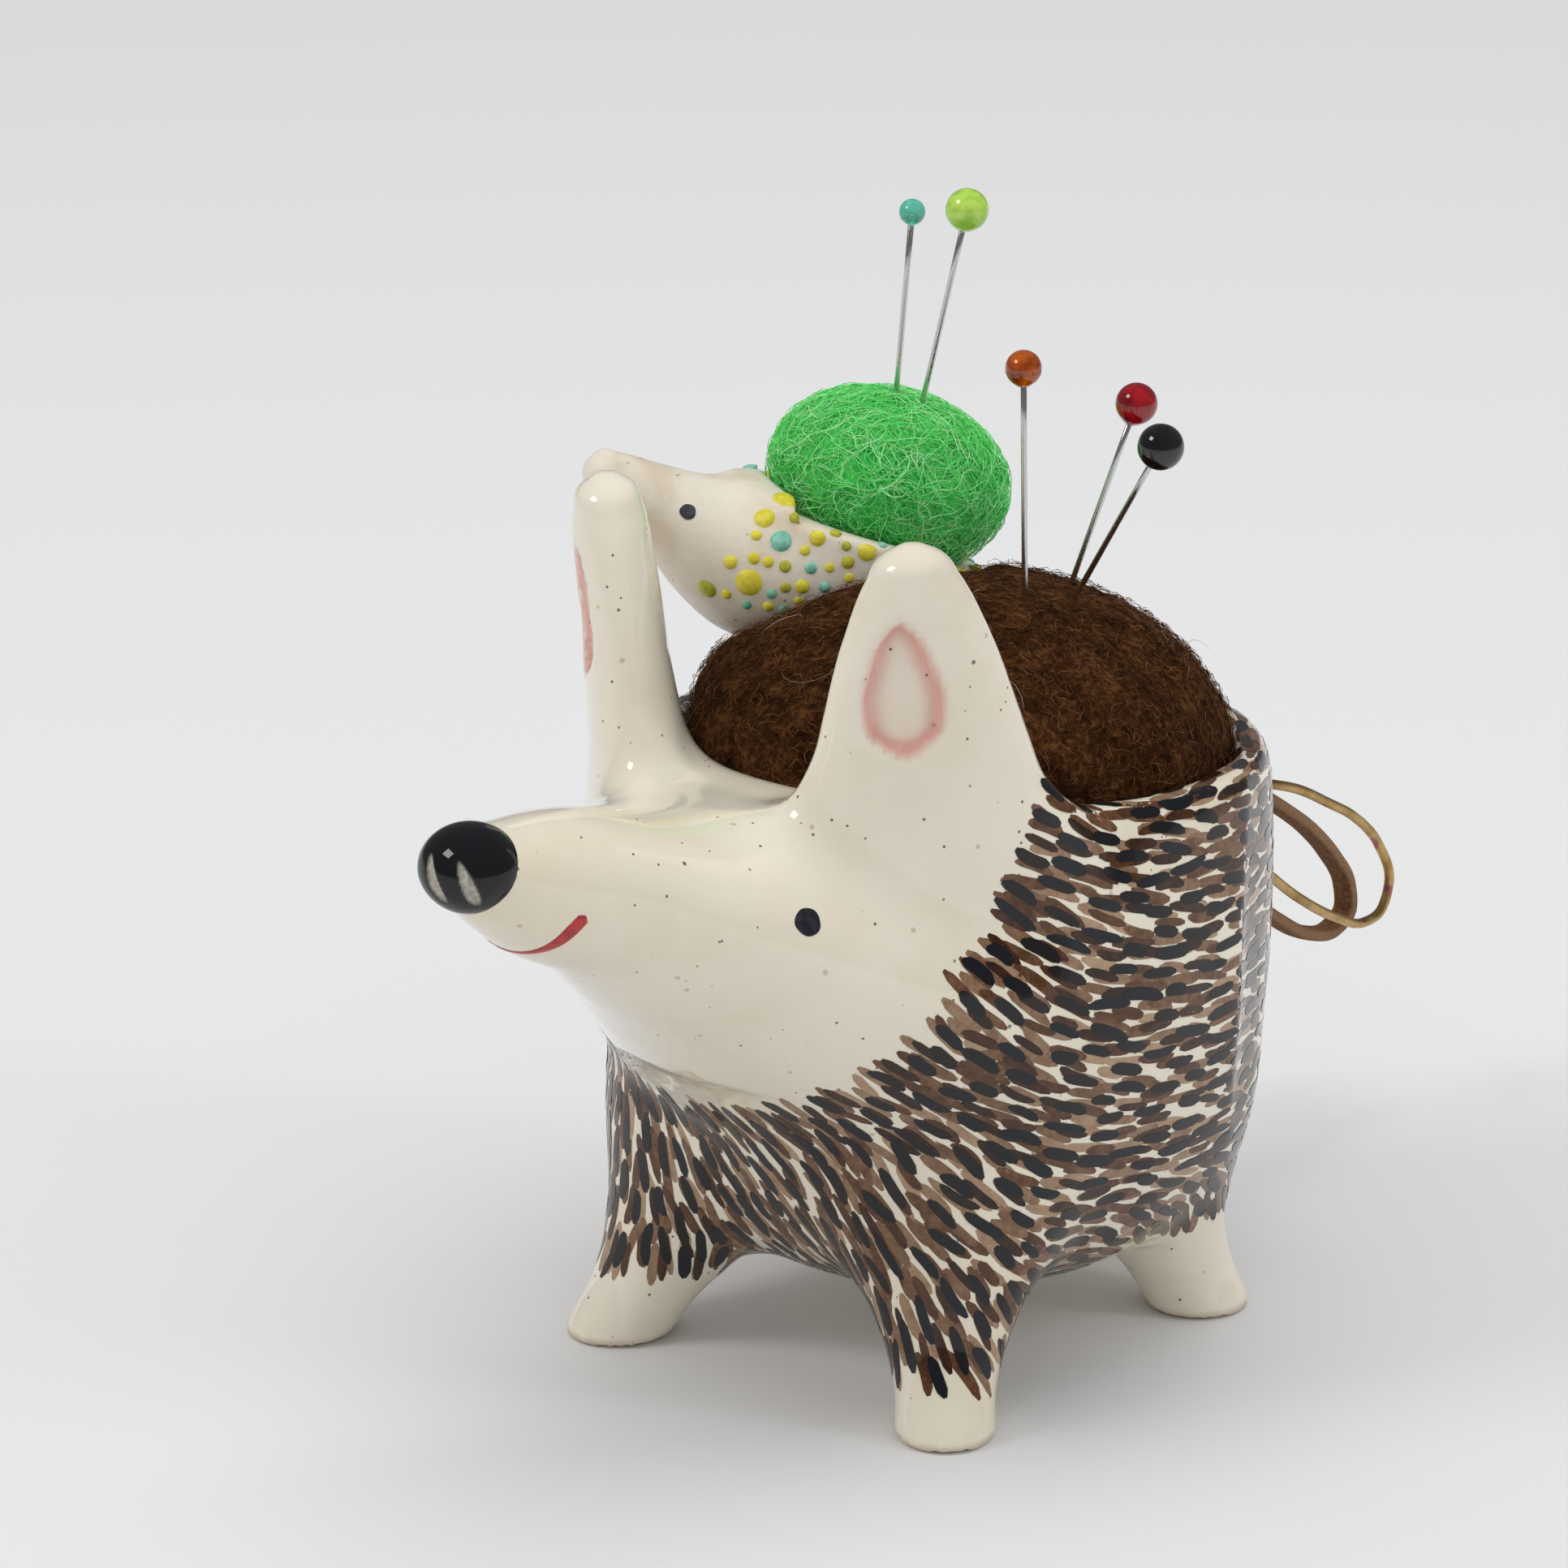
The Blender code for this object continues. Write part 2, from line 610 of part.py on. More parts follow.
def tail_wire(parts):
    """Bronze wire bent into one loop, its two ends through the hole and spread inside the pot."""
    hole = tail_point()
    rise = WIRE_DIAMETER * 0.8
    loop = [(4.0, 2.2), (8.5, 0.8), (15.5, -1.6), (22.0, -4.0), (26.5, -6.4), (30.5, -8.7), (34.6, -12.4),
            (36.6, -16.6), (35.4, -19.0), (32.4, -19.4), (28.6, -17.9), (22.2, -14.2), (16.0, -9.6),
            (8.5, -3.9), (4.0, -1.5)]
    ahead = [(WIRE_SIDE, y * MM, z * MM) for y, z in loop]
    inside = -POT_WALL / 2 - 2.4 * MM
    spread = [(WIRE_SIDE + 3.6 * MM, inside, 1.2 * MM), (WIRE_SIDE + 1.5 * MM, inside, rise * 1.2),
              (WIRE_SIDE + 0.2 * MM, inside + 0.9 * MM, rise), (WIRE_SIDE, 0.0, rise)]
    ending = [(x, y, -z) for x, y, z in reversed(spread)]
    knots = [hole + Vector(point) for point in spread + ahead + ending]
    wire = tube("tail_wire", smooth_path(knots, 1.9 * MM), WIRE_DIAMETER / 2, parts, 2)
    return as_part(wire, material("bronze_wire", (0.45, 0.28, 0.08), 0.4, 1.0))


def tail_lace(parts):
    """Suede lace that leaves the hole, turns back in one loop and returns to it."""
    hole = tail_point()
    apart = LACE_DIAMETER / 2 + GAP
    loop = [(4.0, 1.2), (9.0, 0.6), (16.0, -2.4), (22.7, -6.4), (27.2, -9.6), (30.6, -12.8),
            (33.2, -16.4), (33.4, -19.0), (31.0, -20.2), (27.0, -19.4), (22.0, -16.6), (15.0, -11.2),
            (8.5, -5.6), (4.0, -2.2)]
    end = -POT_WALL / 2 - 1.0 * MM
    knots = [(LACE_SIDE, end, apart), (LACE_SIDE, 0.0, apart)]
    knots += [(LACE_SIDE, y * MM, z * MM) for y, z in loop]
    knots += [(LACE_SIDE, 0.0, -apart), (LACE_SIDE, end, -apart)]
    path = smooth_path([hole + Vector(k) for k in knots], LACE_DIAMETER)
    lace = tube("tail_lace", path, LACE_DIAMETER / 2, parts, 2)
    return as_part(lace, material("suede", (0.20, 0.10, 0.05), 0.95))


def tail_knot(parts):
    """The lace's ends tied in one overhand knot inside the pot, too big for the hole."""
    centre = tail_point() + Vector((LACE_SIDE - 2.3 * MM, -POT_WALL / 2 - 3.2 * MM, 0.0))
    count = 40
    points = []
    for i in range(count):
        t = 2 * math.pi * i / count
        turn = Vector((math.sin(t) + 2 * math.sin(2 * t), -1.1 * math.sin(3 * t),
                       math.cos(t) - 2 * math.cos(2 * t)))
        points.append(centre + turn * MM)
    return as_part(tube("tail_knot", points, LACE_DIAMETER * 0.33, parts, 1, cyclic=True),
                   material("suede_knot", (0.20, 0.10, 0.05), 0.95))


# ---------------------------------------------------------------- pins

class Pin:
    """A ball-headed pin: where it enters the wool, which way it leans, how deep it is, its head."""

    def __init__(self, name, entry, lean, depth, head_radius, colour):
        self.name = name
        self.along = Vector(lean).normalized()
        self.entry = Vector(entry) * MM
        self.tip = self.entry - self.along * depth * MM
        self.head_radius = head_radius * MM
        self.colour = colour

    def matrix(self):
        turn = self.along.to_track_quat("Z", "Y").to_matrix().to_4x4()
        return Matrix.Translation(self.tip) @ turn


def all_pins():
    def on_crown(x, y):
        return (x, y, crown_height(x * MM, y * MM) / MM)

    def on_ball(x, y, below_top):
        middle = baby_place() / MM
        return (middle.x + x, middle.y + y, middle.z + BALL_CROWN / MM - below_top)

    return [
        Pin("amber", on_crown(5.8, 8.0), (0.075, -0.126, 0.989), 4.0, 1.5, (0.80, 0.22, 0.02)),
        Pin("red", on_crown(4.4, 16.6), (0.306, 0.098, 0.947), 8.0, 1.75, (0.45, 0.01, 0.03)),
        Pin("black", on_crown(8.1, 11.8), (0.578, -0.236, 0.781), 4.0, 1.9, (0.01, 0.01, 0.012)),
        Pin("teal", on_ball(0.4, 0.5, 0.0), (0.148, -0.068, 0.987), 8.4, 1.1, (0.05, 0.60, 0.45)),
        Pin("lime", on_ball(3.3, 0.5, 0.3), (0.280, -0.044, 0.959), 7.0, 1.8, (0.45, 0.75, 0.12))]


def pin_channel(pin, cutters):
    """Room for a pin in what it is stuck into."""
    reach = pin.entry + pin.along * 6 * MM
    start = pin.tip - pin.along * GAP
    return as_cutter(rod("channel_" + pin.name, start, reach, PIN_RADIUS + GAP, cutters, 8))


def pin_parts(pin, parts):
    steel = material("pin_steel_" + pin.name, (0.70, 0.70, 0.72), 0.25, 1.0)
    outline = [(0.0, PIN_LENGTH), (PIN_RADIUS, PIN_LENGTH), (PIN_RADIUS, PIN_TAPER),
               (0.06 * MM, 0.0), (0.0, 0.0)]
    shaft = turned("pin_shaft_" + pin.name, outline, parts, 10)
    grip = min(1.3 * MM, pin.head_radius * 0.9)
    bore = PIN_RADIUS + GAP
    centre = PIN_LENGTH - grip + pin.head_radius
    start = math.asin(bore / pin.head_radius)
    angles = np.linspace(0.0, math.pi - start, 9)
    ball = [(pin.head_radius * math.sin(a), centre + pin.head_radius * math.cos(a)) for a in angles]
    ball[0] = (0.0, centre + pin.head_radius)
    ceiling = PIN_LENGTH + GAP
    head = turned("pin_head_" + pin.name, ball + [(bore, ceiling), (0.0, ceiling)], parts, 14)
    as_part(shaft, steel)
    as_part(head, material("pin_glass_" + pin.name, pin.colour, 0.08))
    holder = bpy.data.objects.new("pin_" + pin.name, None)
    parts.objects.link(holder)
    holder.matrix_world = pin.matrix()
    for piece in (shaft, head):
        piece.parent = holder
    return holder


# ---------------------------------------------------------------- assembly

def main():
    clear_scene()
    parts = new_collection("hedgehog_pincushion")
    cutters = new_collection("cutters")
    mother_body(parts, cutters)
    baby = baby_body(parts, cutters)
    pins = all_pins()
    channels = {pin.name: pin_channel(pin, cutters) for pin in pins}
    baby_wool_ball(parts, cutters, [channels["teal"], channels["lime"]])
    cushion(parts, cutters, baby, [channels[name] for name in ("amber", "red", "black")])
    gathering_thread(parts)
    glue_pad(parts)
    tail_wire(parts)
    tail_lace(parts)
    tail_knot(parts)
    for pin in pins:
        pin_parts(pin, parts)
    layout = bpy.data.objects.new("hedgehog", None)
    parts.objects.link(layout)
    layout.location = LAYOUT_SHIFT
    for group in (parts, cutters):
        for made in group.objects:
            if made.parent is None and made is not layout:
                made.parent = layout


main()
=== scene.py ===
import math

import bpy
import numpy as np
from mathutils import Euler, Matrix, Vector


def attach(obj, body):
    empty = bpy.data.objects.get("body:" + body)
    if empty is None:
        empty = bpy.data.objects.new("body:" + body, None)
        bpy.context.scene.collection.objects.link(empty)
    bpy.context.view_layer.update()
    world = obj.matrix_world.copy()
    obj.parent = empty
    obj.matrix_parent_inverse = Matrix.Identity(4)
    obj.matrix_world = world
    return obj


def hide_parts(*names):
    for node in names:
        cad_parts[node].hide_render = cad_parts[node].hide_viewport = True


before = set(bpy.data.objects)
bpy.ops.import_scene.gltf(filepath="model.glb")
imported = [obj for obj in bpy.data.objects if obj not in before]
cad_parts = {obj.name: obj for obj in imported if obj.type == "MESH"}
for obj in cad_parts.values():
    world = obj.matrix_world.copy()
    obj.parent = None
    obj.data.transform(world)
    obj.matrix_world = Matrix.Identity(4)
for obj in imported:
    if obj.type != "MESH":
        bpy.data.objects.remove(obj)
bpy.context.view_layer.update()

mm = 0.001
layoutShift = np.array([1.8, -5.8, 0.0])


# camera

view = {
    "place": (348.6, -456.6, 239.1),
    "target": (-6.2, -12.2, 47.7),
    "lens": 167.1,
}


def placed(name, data, place=(0, 0, 0), target=None):
    # a new object in the scene, which looks at target along its own -Z
    made = bpy.data.objects.new(name, data)
    bpy.context.scene.collection.objects.link(made)
    made.location = place
    if target is not None:
        made.rotation_mode = "QUATERNION"
        made.rotation_quaternion = (Vector(target) - Vector(place)).normalized().to_track_quat("-Z", "Y")
    return made


def setCamera():
    data = bpy.data.cameras.new("camera")
    data.lens = view["lens"]
    data.sensor_width = 36.0
    data.clip_end = 20.0
    made = placed("camera", data, Vector(view["place"]) * mm, Vector(view["target"]) * mm)
    bpy.context.scene.camera = made


setCamera()
print("camera set")


# numbers and shapes

def throughStations(value, at, heights):
    # cubic curve through stations, its slope at each one that of its neighbours
    at, heights = np.asarray(at, float), np.asarray(heights, float)
    slope = np.gradient(heights, at)
    left = np.clip(np.searchsorted(at, value) - 1, 0, len(at) - 2)
    span = at[left + 1] - at[left]
    t = np.clip((value - at[left]) / span, 0.0, 1.0)
    return ((2 * t**3 - 3 * t**2 + 1) * heights[left] + (t**3 - 2 * t**2 + t) * span * slope[left]
            + (3 * t**2 - 2 * t**3) * heights[left + 1] + (t**3 - t**2) * span * slope[left + 1])


def smoothMin(a, b, width):
    # the smaller of two distances, with a cubic fillet where they are within width of each other
    near = np.maximum(width - np.abs(a - b), 0) / width
    return np.minimum(a, b) - near**3 * width / 6


def smoothMax(a, b, width):
    return -smoothMin(-a, -b, width)


def smoothStep(low, high, value):
    t = np.clip((value - low) / (high - low), 0, 1)
    return t * t * (3 - 2 * t)


def oval(*shares):
    # root of the summed squares: 1 on an oval whose shares are distances over its half sizes
    return np.sqrt(sum(share**2 for share in shares))


def unit(v):
    return v / np.maximum(np.linalg.norm(v, axis=-1, keepdims=True), 1e-9)


def alongPath(knots, spacing):
    # points at an even spacing on a smooth curve through knots
    knots = np.array(knots, float)
    chord = np.concatenate([[0.0], np.cumsum(np.linalg.norm(np.diff(knots, axis=0), axis=1))])
    fine = np.linspace(0.0, chord[-1], 800)
    curve = np.stack([throughStations(fine, chord, knots[:, i]) for i in range(3)], axis=1)
    run = np.concatenate([[0.0], np.cumsum(np.linalg.norm(np.diff(curve, axis=0), axis=1))])
    even = np.linspace(0.0, run[-1], max(3, int(round(run[-1] / spacing)) + 1))
    return np.stack([np.interp(even, run, curve[:, i]) for i in range(3)], axis=1)


def meshObject(name, points, faces, finish, values=None):
    # faces is one array of quads or triangles; values are numbers kept at each point
    mesh = bpy.data.meshes.new(name)
    mesh.from_pydata((points + layoutShift) * mm, [], faces.tolist())
    for key, numbers in (values or {}).items():
        kept = mesh.attributes.new(key, "FLOAT", "POINT")
        kept.data.foreach_set("value", np.asarray(numbers, np.float32).ravel())
    mesh.polygons.foreach_set("use_smooth", np.ones(len(mesh.polygons), bool))
    mesh.update()
    mesh.materials.append(finish)
    return placed(name, mesh)


def gridFaces(rows, columns, wrap):
    # quads of a grid of points, row by row; wrap closes each row on itself
    r = np.arange(rows - 1)[:, None] * columns
    c = np.arange(columns if wrap else columns - 1)[None, :]
    n = (c + 1) % columns
    return np.stack([r + c, r + n, r + columns + n, r + columns + c], -1).reshape(-1, 4)


def repeated(faces, count, points):
    # one piece's faces for count pieces of so many points each, laid one after another
    return (faces[None] + (np.arange(count) * points)[:, None, None]).reshape(-1, faces.shape[1])


def halved(quads):
    return np.concatenate([quads[:, [0, 1, 2]], quads[:, [0, 2, 3]]])


def facing(points, faces, out):
    # the faces, each turned so that its front looks the way of its own out
    corner = points[faces[:, :3]]
    front = np.cross(corner[:, 1] - corner[:, 0], corner[:, 2] - corner[:, 1])
    turned = (front * out).sum(-1) < 0
    faces[turned] = faces[turned][:, ::-1]
    return faces


def circle(sides):
    angle = np.arange(sides) * 2 * math.pi / sides
    return angle, np.cos(angle), np.sin(angle)


def manyTubes(paths, radii, sides):
    # a round tube along each path: paths is (tube, step, xyz) and radii is (tube, step)
    count, steps = paths.shape[:2]
    ahead = unit(np.gradient(paths, axis=1))
    steep = np.abs(ahead[:, :1, 2:3]) >= 0.8
    helper = np.where(steep, np.array([1.0, 0.0, 0.0]), np.array([0.0, 0.0, 1.0]))
    side = unit(np.cross(ahead, np.broadcast_to(helper, ahead.shape)))
    up = np.cross(side, ahead)
    _, c, s = circle(sides)
    ring = side[:, :, None] * c[:, None] + up[:, :, None] * s[:, None]
    points = (paths[:, :, None] + ring * radii[:, :, None, None]).reshape(-1, 3)
    return points, repeated(gridFaces(steps, sides, True), count, steps * sides)


def tubeAlong(path, acrossHalf, thickHalf, sides, across):
    # an oval, a little squared, carried along a path and closed to a point at both ends;
    # across is the direction of its wide side
    ahead = unit(np.gradient(path, axis=0))
    side = unit(across - ahead * (ahead @ across)[:, None])
    up = np.cross(side, ahead)
    path, side, up = (np.concatenate([v[:1], v, v[-1:]])[:, None] for v in (path, side, up))
    size = np.ones((len(path), 1, 1))
    size[[0, -1]] = 0.0
    flat = [np.abs(v) ** 0.6 * np.sign(v) for v in circle(sides)[1:]]
    points = (path + side * (flat[0] * acrossHalf)[:, None] * size
              + up * (flat[1] * thickHalf)[:, None] * size)
    return points.reshape(-1, 3), gridFaces(len(path), sides, True)[:, ::-1]


def ballGrid(centre, half, rows, columns):
    # ellipsoid as a grid of latitude and longitude, its poles one point each; also the plain ball
    lat = np.linspace(0, math.pi, rows + 1)[1:-1, None]
    lon = np.arange(columns) * 2 * math.pi / columns
    around = np.stack([np.sin(lat) * np.cos(lon), np.sin(lat) * np.sin(lon),
                       np.cos(lat) * np.ones(columns)], -1).reshape(-1, 3)
    sphere = np.concatenate([around, [[0, 0, 1.0], [0, 0, -1.0]]])
    top = np.full(columns, len(around))
    first = np.arange(columns)
    last = first + (rows - 2) * columns
    body = gridFaces(rows - 1, columns, True)[:, ::-1]
    faces = np.concatenate([halved(body), np.stack([first, np.roll(first, -1), top], -1),
                            np.stack([np.roll(last, -1), last, top + 1], -1)])
    return sphere * np.asarray(half) + np.asarray(centre), faces, sphere


def skinOf(field, low, high, cell):
    # the surface where field is zero: every cell it crosses gets one point, at the mean of the
    # crossings on the cell's edges, and every crossed edge gets the quad of the four cells round it
    axes = [np.arange(a, b + cell, cell) for a, b in zip(low, high)]
    grid = np.stack(np.meshgrid(*axes, indexing="ij"), -1)
    value = np.concatenate([field(slab) for slab in np.array_split(grid, 16)])
    size = np.array(value.shape) - 1
    total, hits = np.zeros((*size, 3)), np.zeros(size)
    crossings = []
    for axis in range(3):
        n = size[axis]
        a, b = np.take(value, range(n), axis), np.take(value, range(1, n + 1), axis)
        crossed = (a < 0) != (b < 0)
        place = np.take(grid, range(n), axis)
        place[..., axis] += np.where(crossed, a / np.where(crossed, a - b, 1), 0) * cell
        place *= crossed[..., None]
        others = [i for i in range(3) if i != axis]
        for offset in ((0, 0), (0, 1), (1, 0), (1, 1)):
            part = [slice(None)] * 3
            for other, d in zip(others, offset):
                part[other] = slice(d, d + size[other])
            total += place[tuple(part)]
            hits += crossed[tuple(part)]
        crossings.append((crossed, a < 0, others))
    index = np.full(size, -1)
    used = hits > 0
    index[used] = np.arange(used.sum())
    points = total[used] / hits[used][:, None]
    faces = []
    for axis, (crossed, inside, others) in enumerate(crossings):
        inner = [slice(None)] * 3
        for other in others:
            inner[other] = slice(1, -1)
        where = np.argwhere(crossed[tuple(inner)])
        where[:, others] += 1
        corner = []
        for offset in ((1, 1), (0, 1), (0, 0), (1, 0)):
            cellAt = where.copy()
            cellAt[:, others] -= offset
            corner.append(index[tuple(cellAt.T)])
        quad = np.stack(corner, -1)
        flip = inside[tuple(where.T)] == (axis == 1)
        quad[flip] = quad[flip][:, ::-1]
        faces.append(quad)
    return onto(field, points, 3), np.concatenate(faces)


def slopeOf(field, p, value=None):
    step = 0.02
    value = field(p) if value is None else value
    return np.stack([field(p + step * np.eye(3)[i]) - value for i in range(3)], -1) / step


def onto(field, p, rounds, limit=0.5):
    # Newton's steps that bring points to where the field is zero
    for _ in range(rounds):
        value = field(p)
        slope = slopeOf(field, p, value)
        move = value[..., None] * slope / np.maximum((slope**2).sum(-1, keepdims=True), 0.05)
        length = np.linalg.norm(move, axis=-1, keepdims=True)
        p = p - move * np.minimum(1, limit / np.maximum(length, 1e-9))
    return p


# finishes

class Number:
    # a shader socket that takes part in Python arithmetic
    def __init__(self, finish, socket):
        self.finish, self.socket = finish, socket

    def __add__(self, other):
        return self.finish.sum("ADD", self, other)

    def __sub__(self, other):
        return self.finish.sum("SUBTRACT", self, other)

    def __rsub__(self, other):
        return self.finish.sum("SUBTRACT", other, self)

    def __mul__(self, other):
        return self.finish.sum("MULTIPLY", self, other)


class Finish:
    # one material; add() makes any node from its type, its settings and its sockets' values or links
    def __init__(self, name):
        self.material = bpy.data.materials.new(name)
        self.material.use_nodes = True
        self.tree = self.material.node_tree
        self.tree.nodes.clear()

    def add(self, kind, settings=None, inputs=None, output=0):
        node = self.tree.nodes.new(kind)
        for key, value in (settings or {}).items():
            if key == "stops":
                ramp = node.color_ramp.elements
                while len(ramp) < len(value):
                    ramp.new(1.0)
                for stop, (at, colour) in zip(ramp, value):
                    stop.position, stop.color = at, (*colour, 1.0)
            else:
                setattr(node, key, value)
        for key, value in (inputs or {}).items():
            if isinstance(value, Number):
                self.tree.links.new(value.socket, node.inputs[key])
            else:
                node.inputs[key].default_value = value
        return Number(self, node.outputs[output]) if node.outputs else None

    def sum(self, operation, *values):
        return self.add("ShaderNodeMath", {"operation": operation}, dict(enumerate(values)))

    def place(self):
        return self.add("ShaderNodeTexCoord", output="Object")

    def noise(self, scale, detail=3.0, roughness=0.5):
        return self.add("ShaderNodeTexNoise", {}, {"Vector": self.place(), "Scale": scale,
                                                   "Detail": detail, "Roughness": roughness})

    def kept(self, name):
        return self.add("ShaderNodeAttribute", {"attribute_name": name}, output="Fac")

    def between(self, low, high, value, to=(0.0, 1.0)):
        # value's place between low and high, held inside them, as a number of the range "to"
        return self.add("ShaderNodeMapRange", {"interpolation_type": "SMOOTHSTEP"}, {
            "Value": value, "From Min": low, "From Max": high, "To Min": to[0], "To Max": to[1]})

    def ramp(self, value, stops):
        return self.add("ShaderNodeValToRGB", {"stops": stops}, {"Fac": value})

    def mix(self, share, a, b):
        wide = [v if isinstance(v, Number) else (*v, 1.0) for v in (a, b)]
        return self.add("ShaderNodeMix", {"data_type": "RGBA"}, {0: share, 6: wide[0], 7: wide[1]}, 2)

    def bump(self, height, distance, strength):
        return self.add("ShaderNodeBump", {}, {"Height": height, "Distance": distance, "Strength": strength})

    def specks(self, cells, radius, share):
        # small round spots: one in each kept cell of a grain, share of the cells kept
        grain = ("ShaderNodeTexVoronoi", {}, {"Vector": self.place(), "Scale": cells})
        chance = self.add("ShaderNodeSeparateColor", {}, {0: self.add(*grain, "Color")})
        return self.between(radius, radius * 0.55, self.add(*grain)) * self.sum("LESS_THAN", chance, share)

    def principled(self, **inputs):
        named = {key.replace("_", " "): value for key, value in inputs.items()}
        shader = self.add("ShaderNodeBsdfPrincipled", {}, named)
        self.add("ShaderNodeOutputMaterial", {}, {"Surface": shader})
        return self.material


glaze = {
    "cream": (0.815, 0.755, 0.625),
    "warm": (0.76, 0.68, 0.53),
    "clay": (0.66, 0.56, 0.43),
    "pink": (0.74, 0.40, 0.33),
    "roughness": 0.13,
    "coatRoughness": 0.04,
}


def speckColour(f, base, strength=0.85):
    fine = f.specks(900, 0.15, 0.26)
    coarse = f.specks(330, 0.085, 0.17)
    brown = f.specks(420, 0.12, 0.20)
    out = f.mix(brown * 0.45, base, (0.35, 0.22, 0.10))
    return f.mix(f.sum("MAXIMUM", fine, coarse) * strength, out, (0.045, 0.035, 0.03))


def glazedFinish():
    f = Finish("glazedStoneware")
    mottle = f.noise(55, 4, 0.6)
    base = f.mix(f.between(0.38, 0.72, mottle), glaze["cream"], glaze["warm"])
    base = f.mix(f.kept("earPink"), base, glaze["pink"])
    base = speckColour(f, base)
    bare = f.kept("bareClay")
    base = f.mix(bare, base, glaze["clay"])
    ripple = f.noise(190, 2, 0.5)
    sand = f.noise(2600, 2, 0.6) * bare
    normal = f.bump(ripple + sand * 0.5, 0.00012, 0.35)
    return f.principled(
        Base_Color=base, Roughness=f.between(0, 1, bare, (glaze["roughness"], 0.75)),
        Coat_Weight=1.0 - bare, Coat_Roughness=glaze["coatRoughness"], Normal=normal, IOR=1.5,
        Specular_IOR_Level=0.1)


def quillFinish():
    f = Finish("paintedQuills")
    tone = f.kept("tone")
    streak = f.noise(900, 3, 0.6) * 0.34 + f.noise(3500, 2, 0.6) * 0.16
    base = f.ramp(tone + streak - 0.25, [
        (0.0, (0.008, 0.010, 0.014)), (0.30, (0.015, 0.012, 0.012)), (0.46, (0.040, 0.016, 0.008)),
        (0.62, (0.105, 0.045, 0.020)), (0.78, (0.22, 0.125, 0.070)), (1.0, (0.42, 0.285, 0.18))])
    ripple = f.noise(190, 2, 0.5)
    return f.principled(
        Base_Color=base, Roughness=f.between(0.3, 0.7, streak, (0.12, 0.24)), Coat_Weight=0.55,
        Coat_Roughness=glaze["coatRoughness"], Normal=f.bump(ripple, 0.00012, 0.35), IOR=1.5,
        Specular_IOR_Level=0.1)


def cloudedFinish(name, tones, cloud, spread, rough, relief=None, **more):
    # two tones and two roughnesses that follow one noise; relief is a noise with its depth and strength
    f = Finish(name)
    grain = f.noise(*cloud)
    if relief:
        more["Normal"] = f.bump(f.noise(*relief[0]), *relief[1:])
    return f.principled(
        Base_Color=f.mix(f.between(*spread, grain), *tones), Roughness=f.between(0.3, 0.7, grain, rough),
        **more)


def paintFinish(name, dark, light, roughness=0.12):
    return cloudedFinish(name, (dark, light), (1300, 3, 0.6), (0.35, 0.7), (roughness, roughness + 0.06),
                         ((420, 2), 0.00008, 0.4), Coat_Weight=0.8, Coat_Roughness=0.03,
                         Specular_IOR_Level=0.1)


def dotFinish(name, dark, light):
    return cloudedFinish(name, (dark, light), (1100, 3, 0.7), (0.35, 0.68), (0.35, 0.6),
                         ((3000, 3, 0.7), 0.0001, 0.6), Coat_Weight=0.3, Coat_Roughness=0.2)


def glassFinish(name, dark, light, clear):
    return cloudedFinish(name, (dark, light), (700, 2), (0.35, 0.65), (0.02, 0.06), Transmission_Weight=clear,
                         IOR=1.5, Coat_Weight=0.5, Coat_Roughness=0.02)


def plainFinish(name, dark, light, roughness, scale):
    grain = (scale, 4, 0.6)
    return cloudedFinish(name, (dark, light), grain, (0.3, 0.7), (roughness, min(1.0, roughness + 0.12)),
                         (grain, 0.0002, 0.5))


def noseFinish():
    f = Finish("blackNoseGlaze")
    slot = f.kept("nostril")
    grain = f.noise(2400, 3, 0.6)
    clay = f.mix(f.between(0.35, 0.7, grain), (0.34, 0.32, 0.27), (0.55, 0.52, 0.45))
    base = f.mix(slot, (0.008, 0.008, 0.010), clay)
    return f.principled(
        Base_Color=base, Roughness=f.between(0, 1, slot, (0.08, 0.6)), Coat_Weight=0.8 - slot * 0.8,
        Coat_Roughness=0.03, Specular_IOR_Level=0.0,
        Normal=f.bump(f.noise(600, 2) + grain * slot * 0.6, 0.0001, 0.35))


def woolFinish(name, deep, middle, pale):
    # matted fibres over soft lumps
    f = Finish(name)
    matted = f.noise(1500, 5, 0.75)
    lumps = f.noise(330, 3, 0.6)
    shade = matted * 0.65 + lumps * 0.35
    base = f.ramp(f.between(0.34, 0.68, shade), [(0.0, deep), (0.55, middle), (1.0, pale)])
    return f.principled(
        Base_Color=base, Roughness=f.between(0.3, 0.7, matted, (0.85, 1.0)),
        Normal=f.bump(matted + lumps * 0.8, 0.0008, 1.0), Sheen_Weight=0.12, Sheen_Roughness=0.5,
        Sheen_Tint=(*pale, 1.0), Specular_IOR_Level=0.05)


def fibreFinish(name, deep, middle, pale):
    f = Finish(name)
    tone = f.kept("tone")
    base = f.ramp(tone + (f.noise(700, 2) - 0.5) * 0.3, [(0.0, deep), (0.5, middle), (1.0, pale)])
    return f.principled(
        Base_Color=base, Roughness=f.between(0, 1, tone, (0.85, 0.65)), Specular_IOR_Level=0.12)


def clayFinish():
    f = Finish("babyClay")
    mottle = f.noise(170, 4, 0.6)
    base = f.mix(f.between(0.4, 0.72, mottle), (0.79, 0.72, 0.60), (0.68, 0.57, 0.43))
    base = speckColour(f, base, 0.7)
    grain = f.noise(2100, 3, 0.6)
    return f.principled(
        Base_Color=base, Roughness=f.between(0.3, 0.7, grain, (0.42, 0.6)), Coat_Weight=0.15,
        Coat_Roughness=0.25, Normal=f.bump(grain, 0.00008, 0.5))


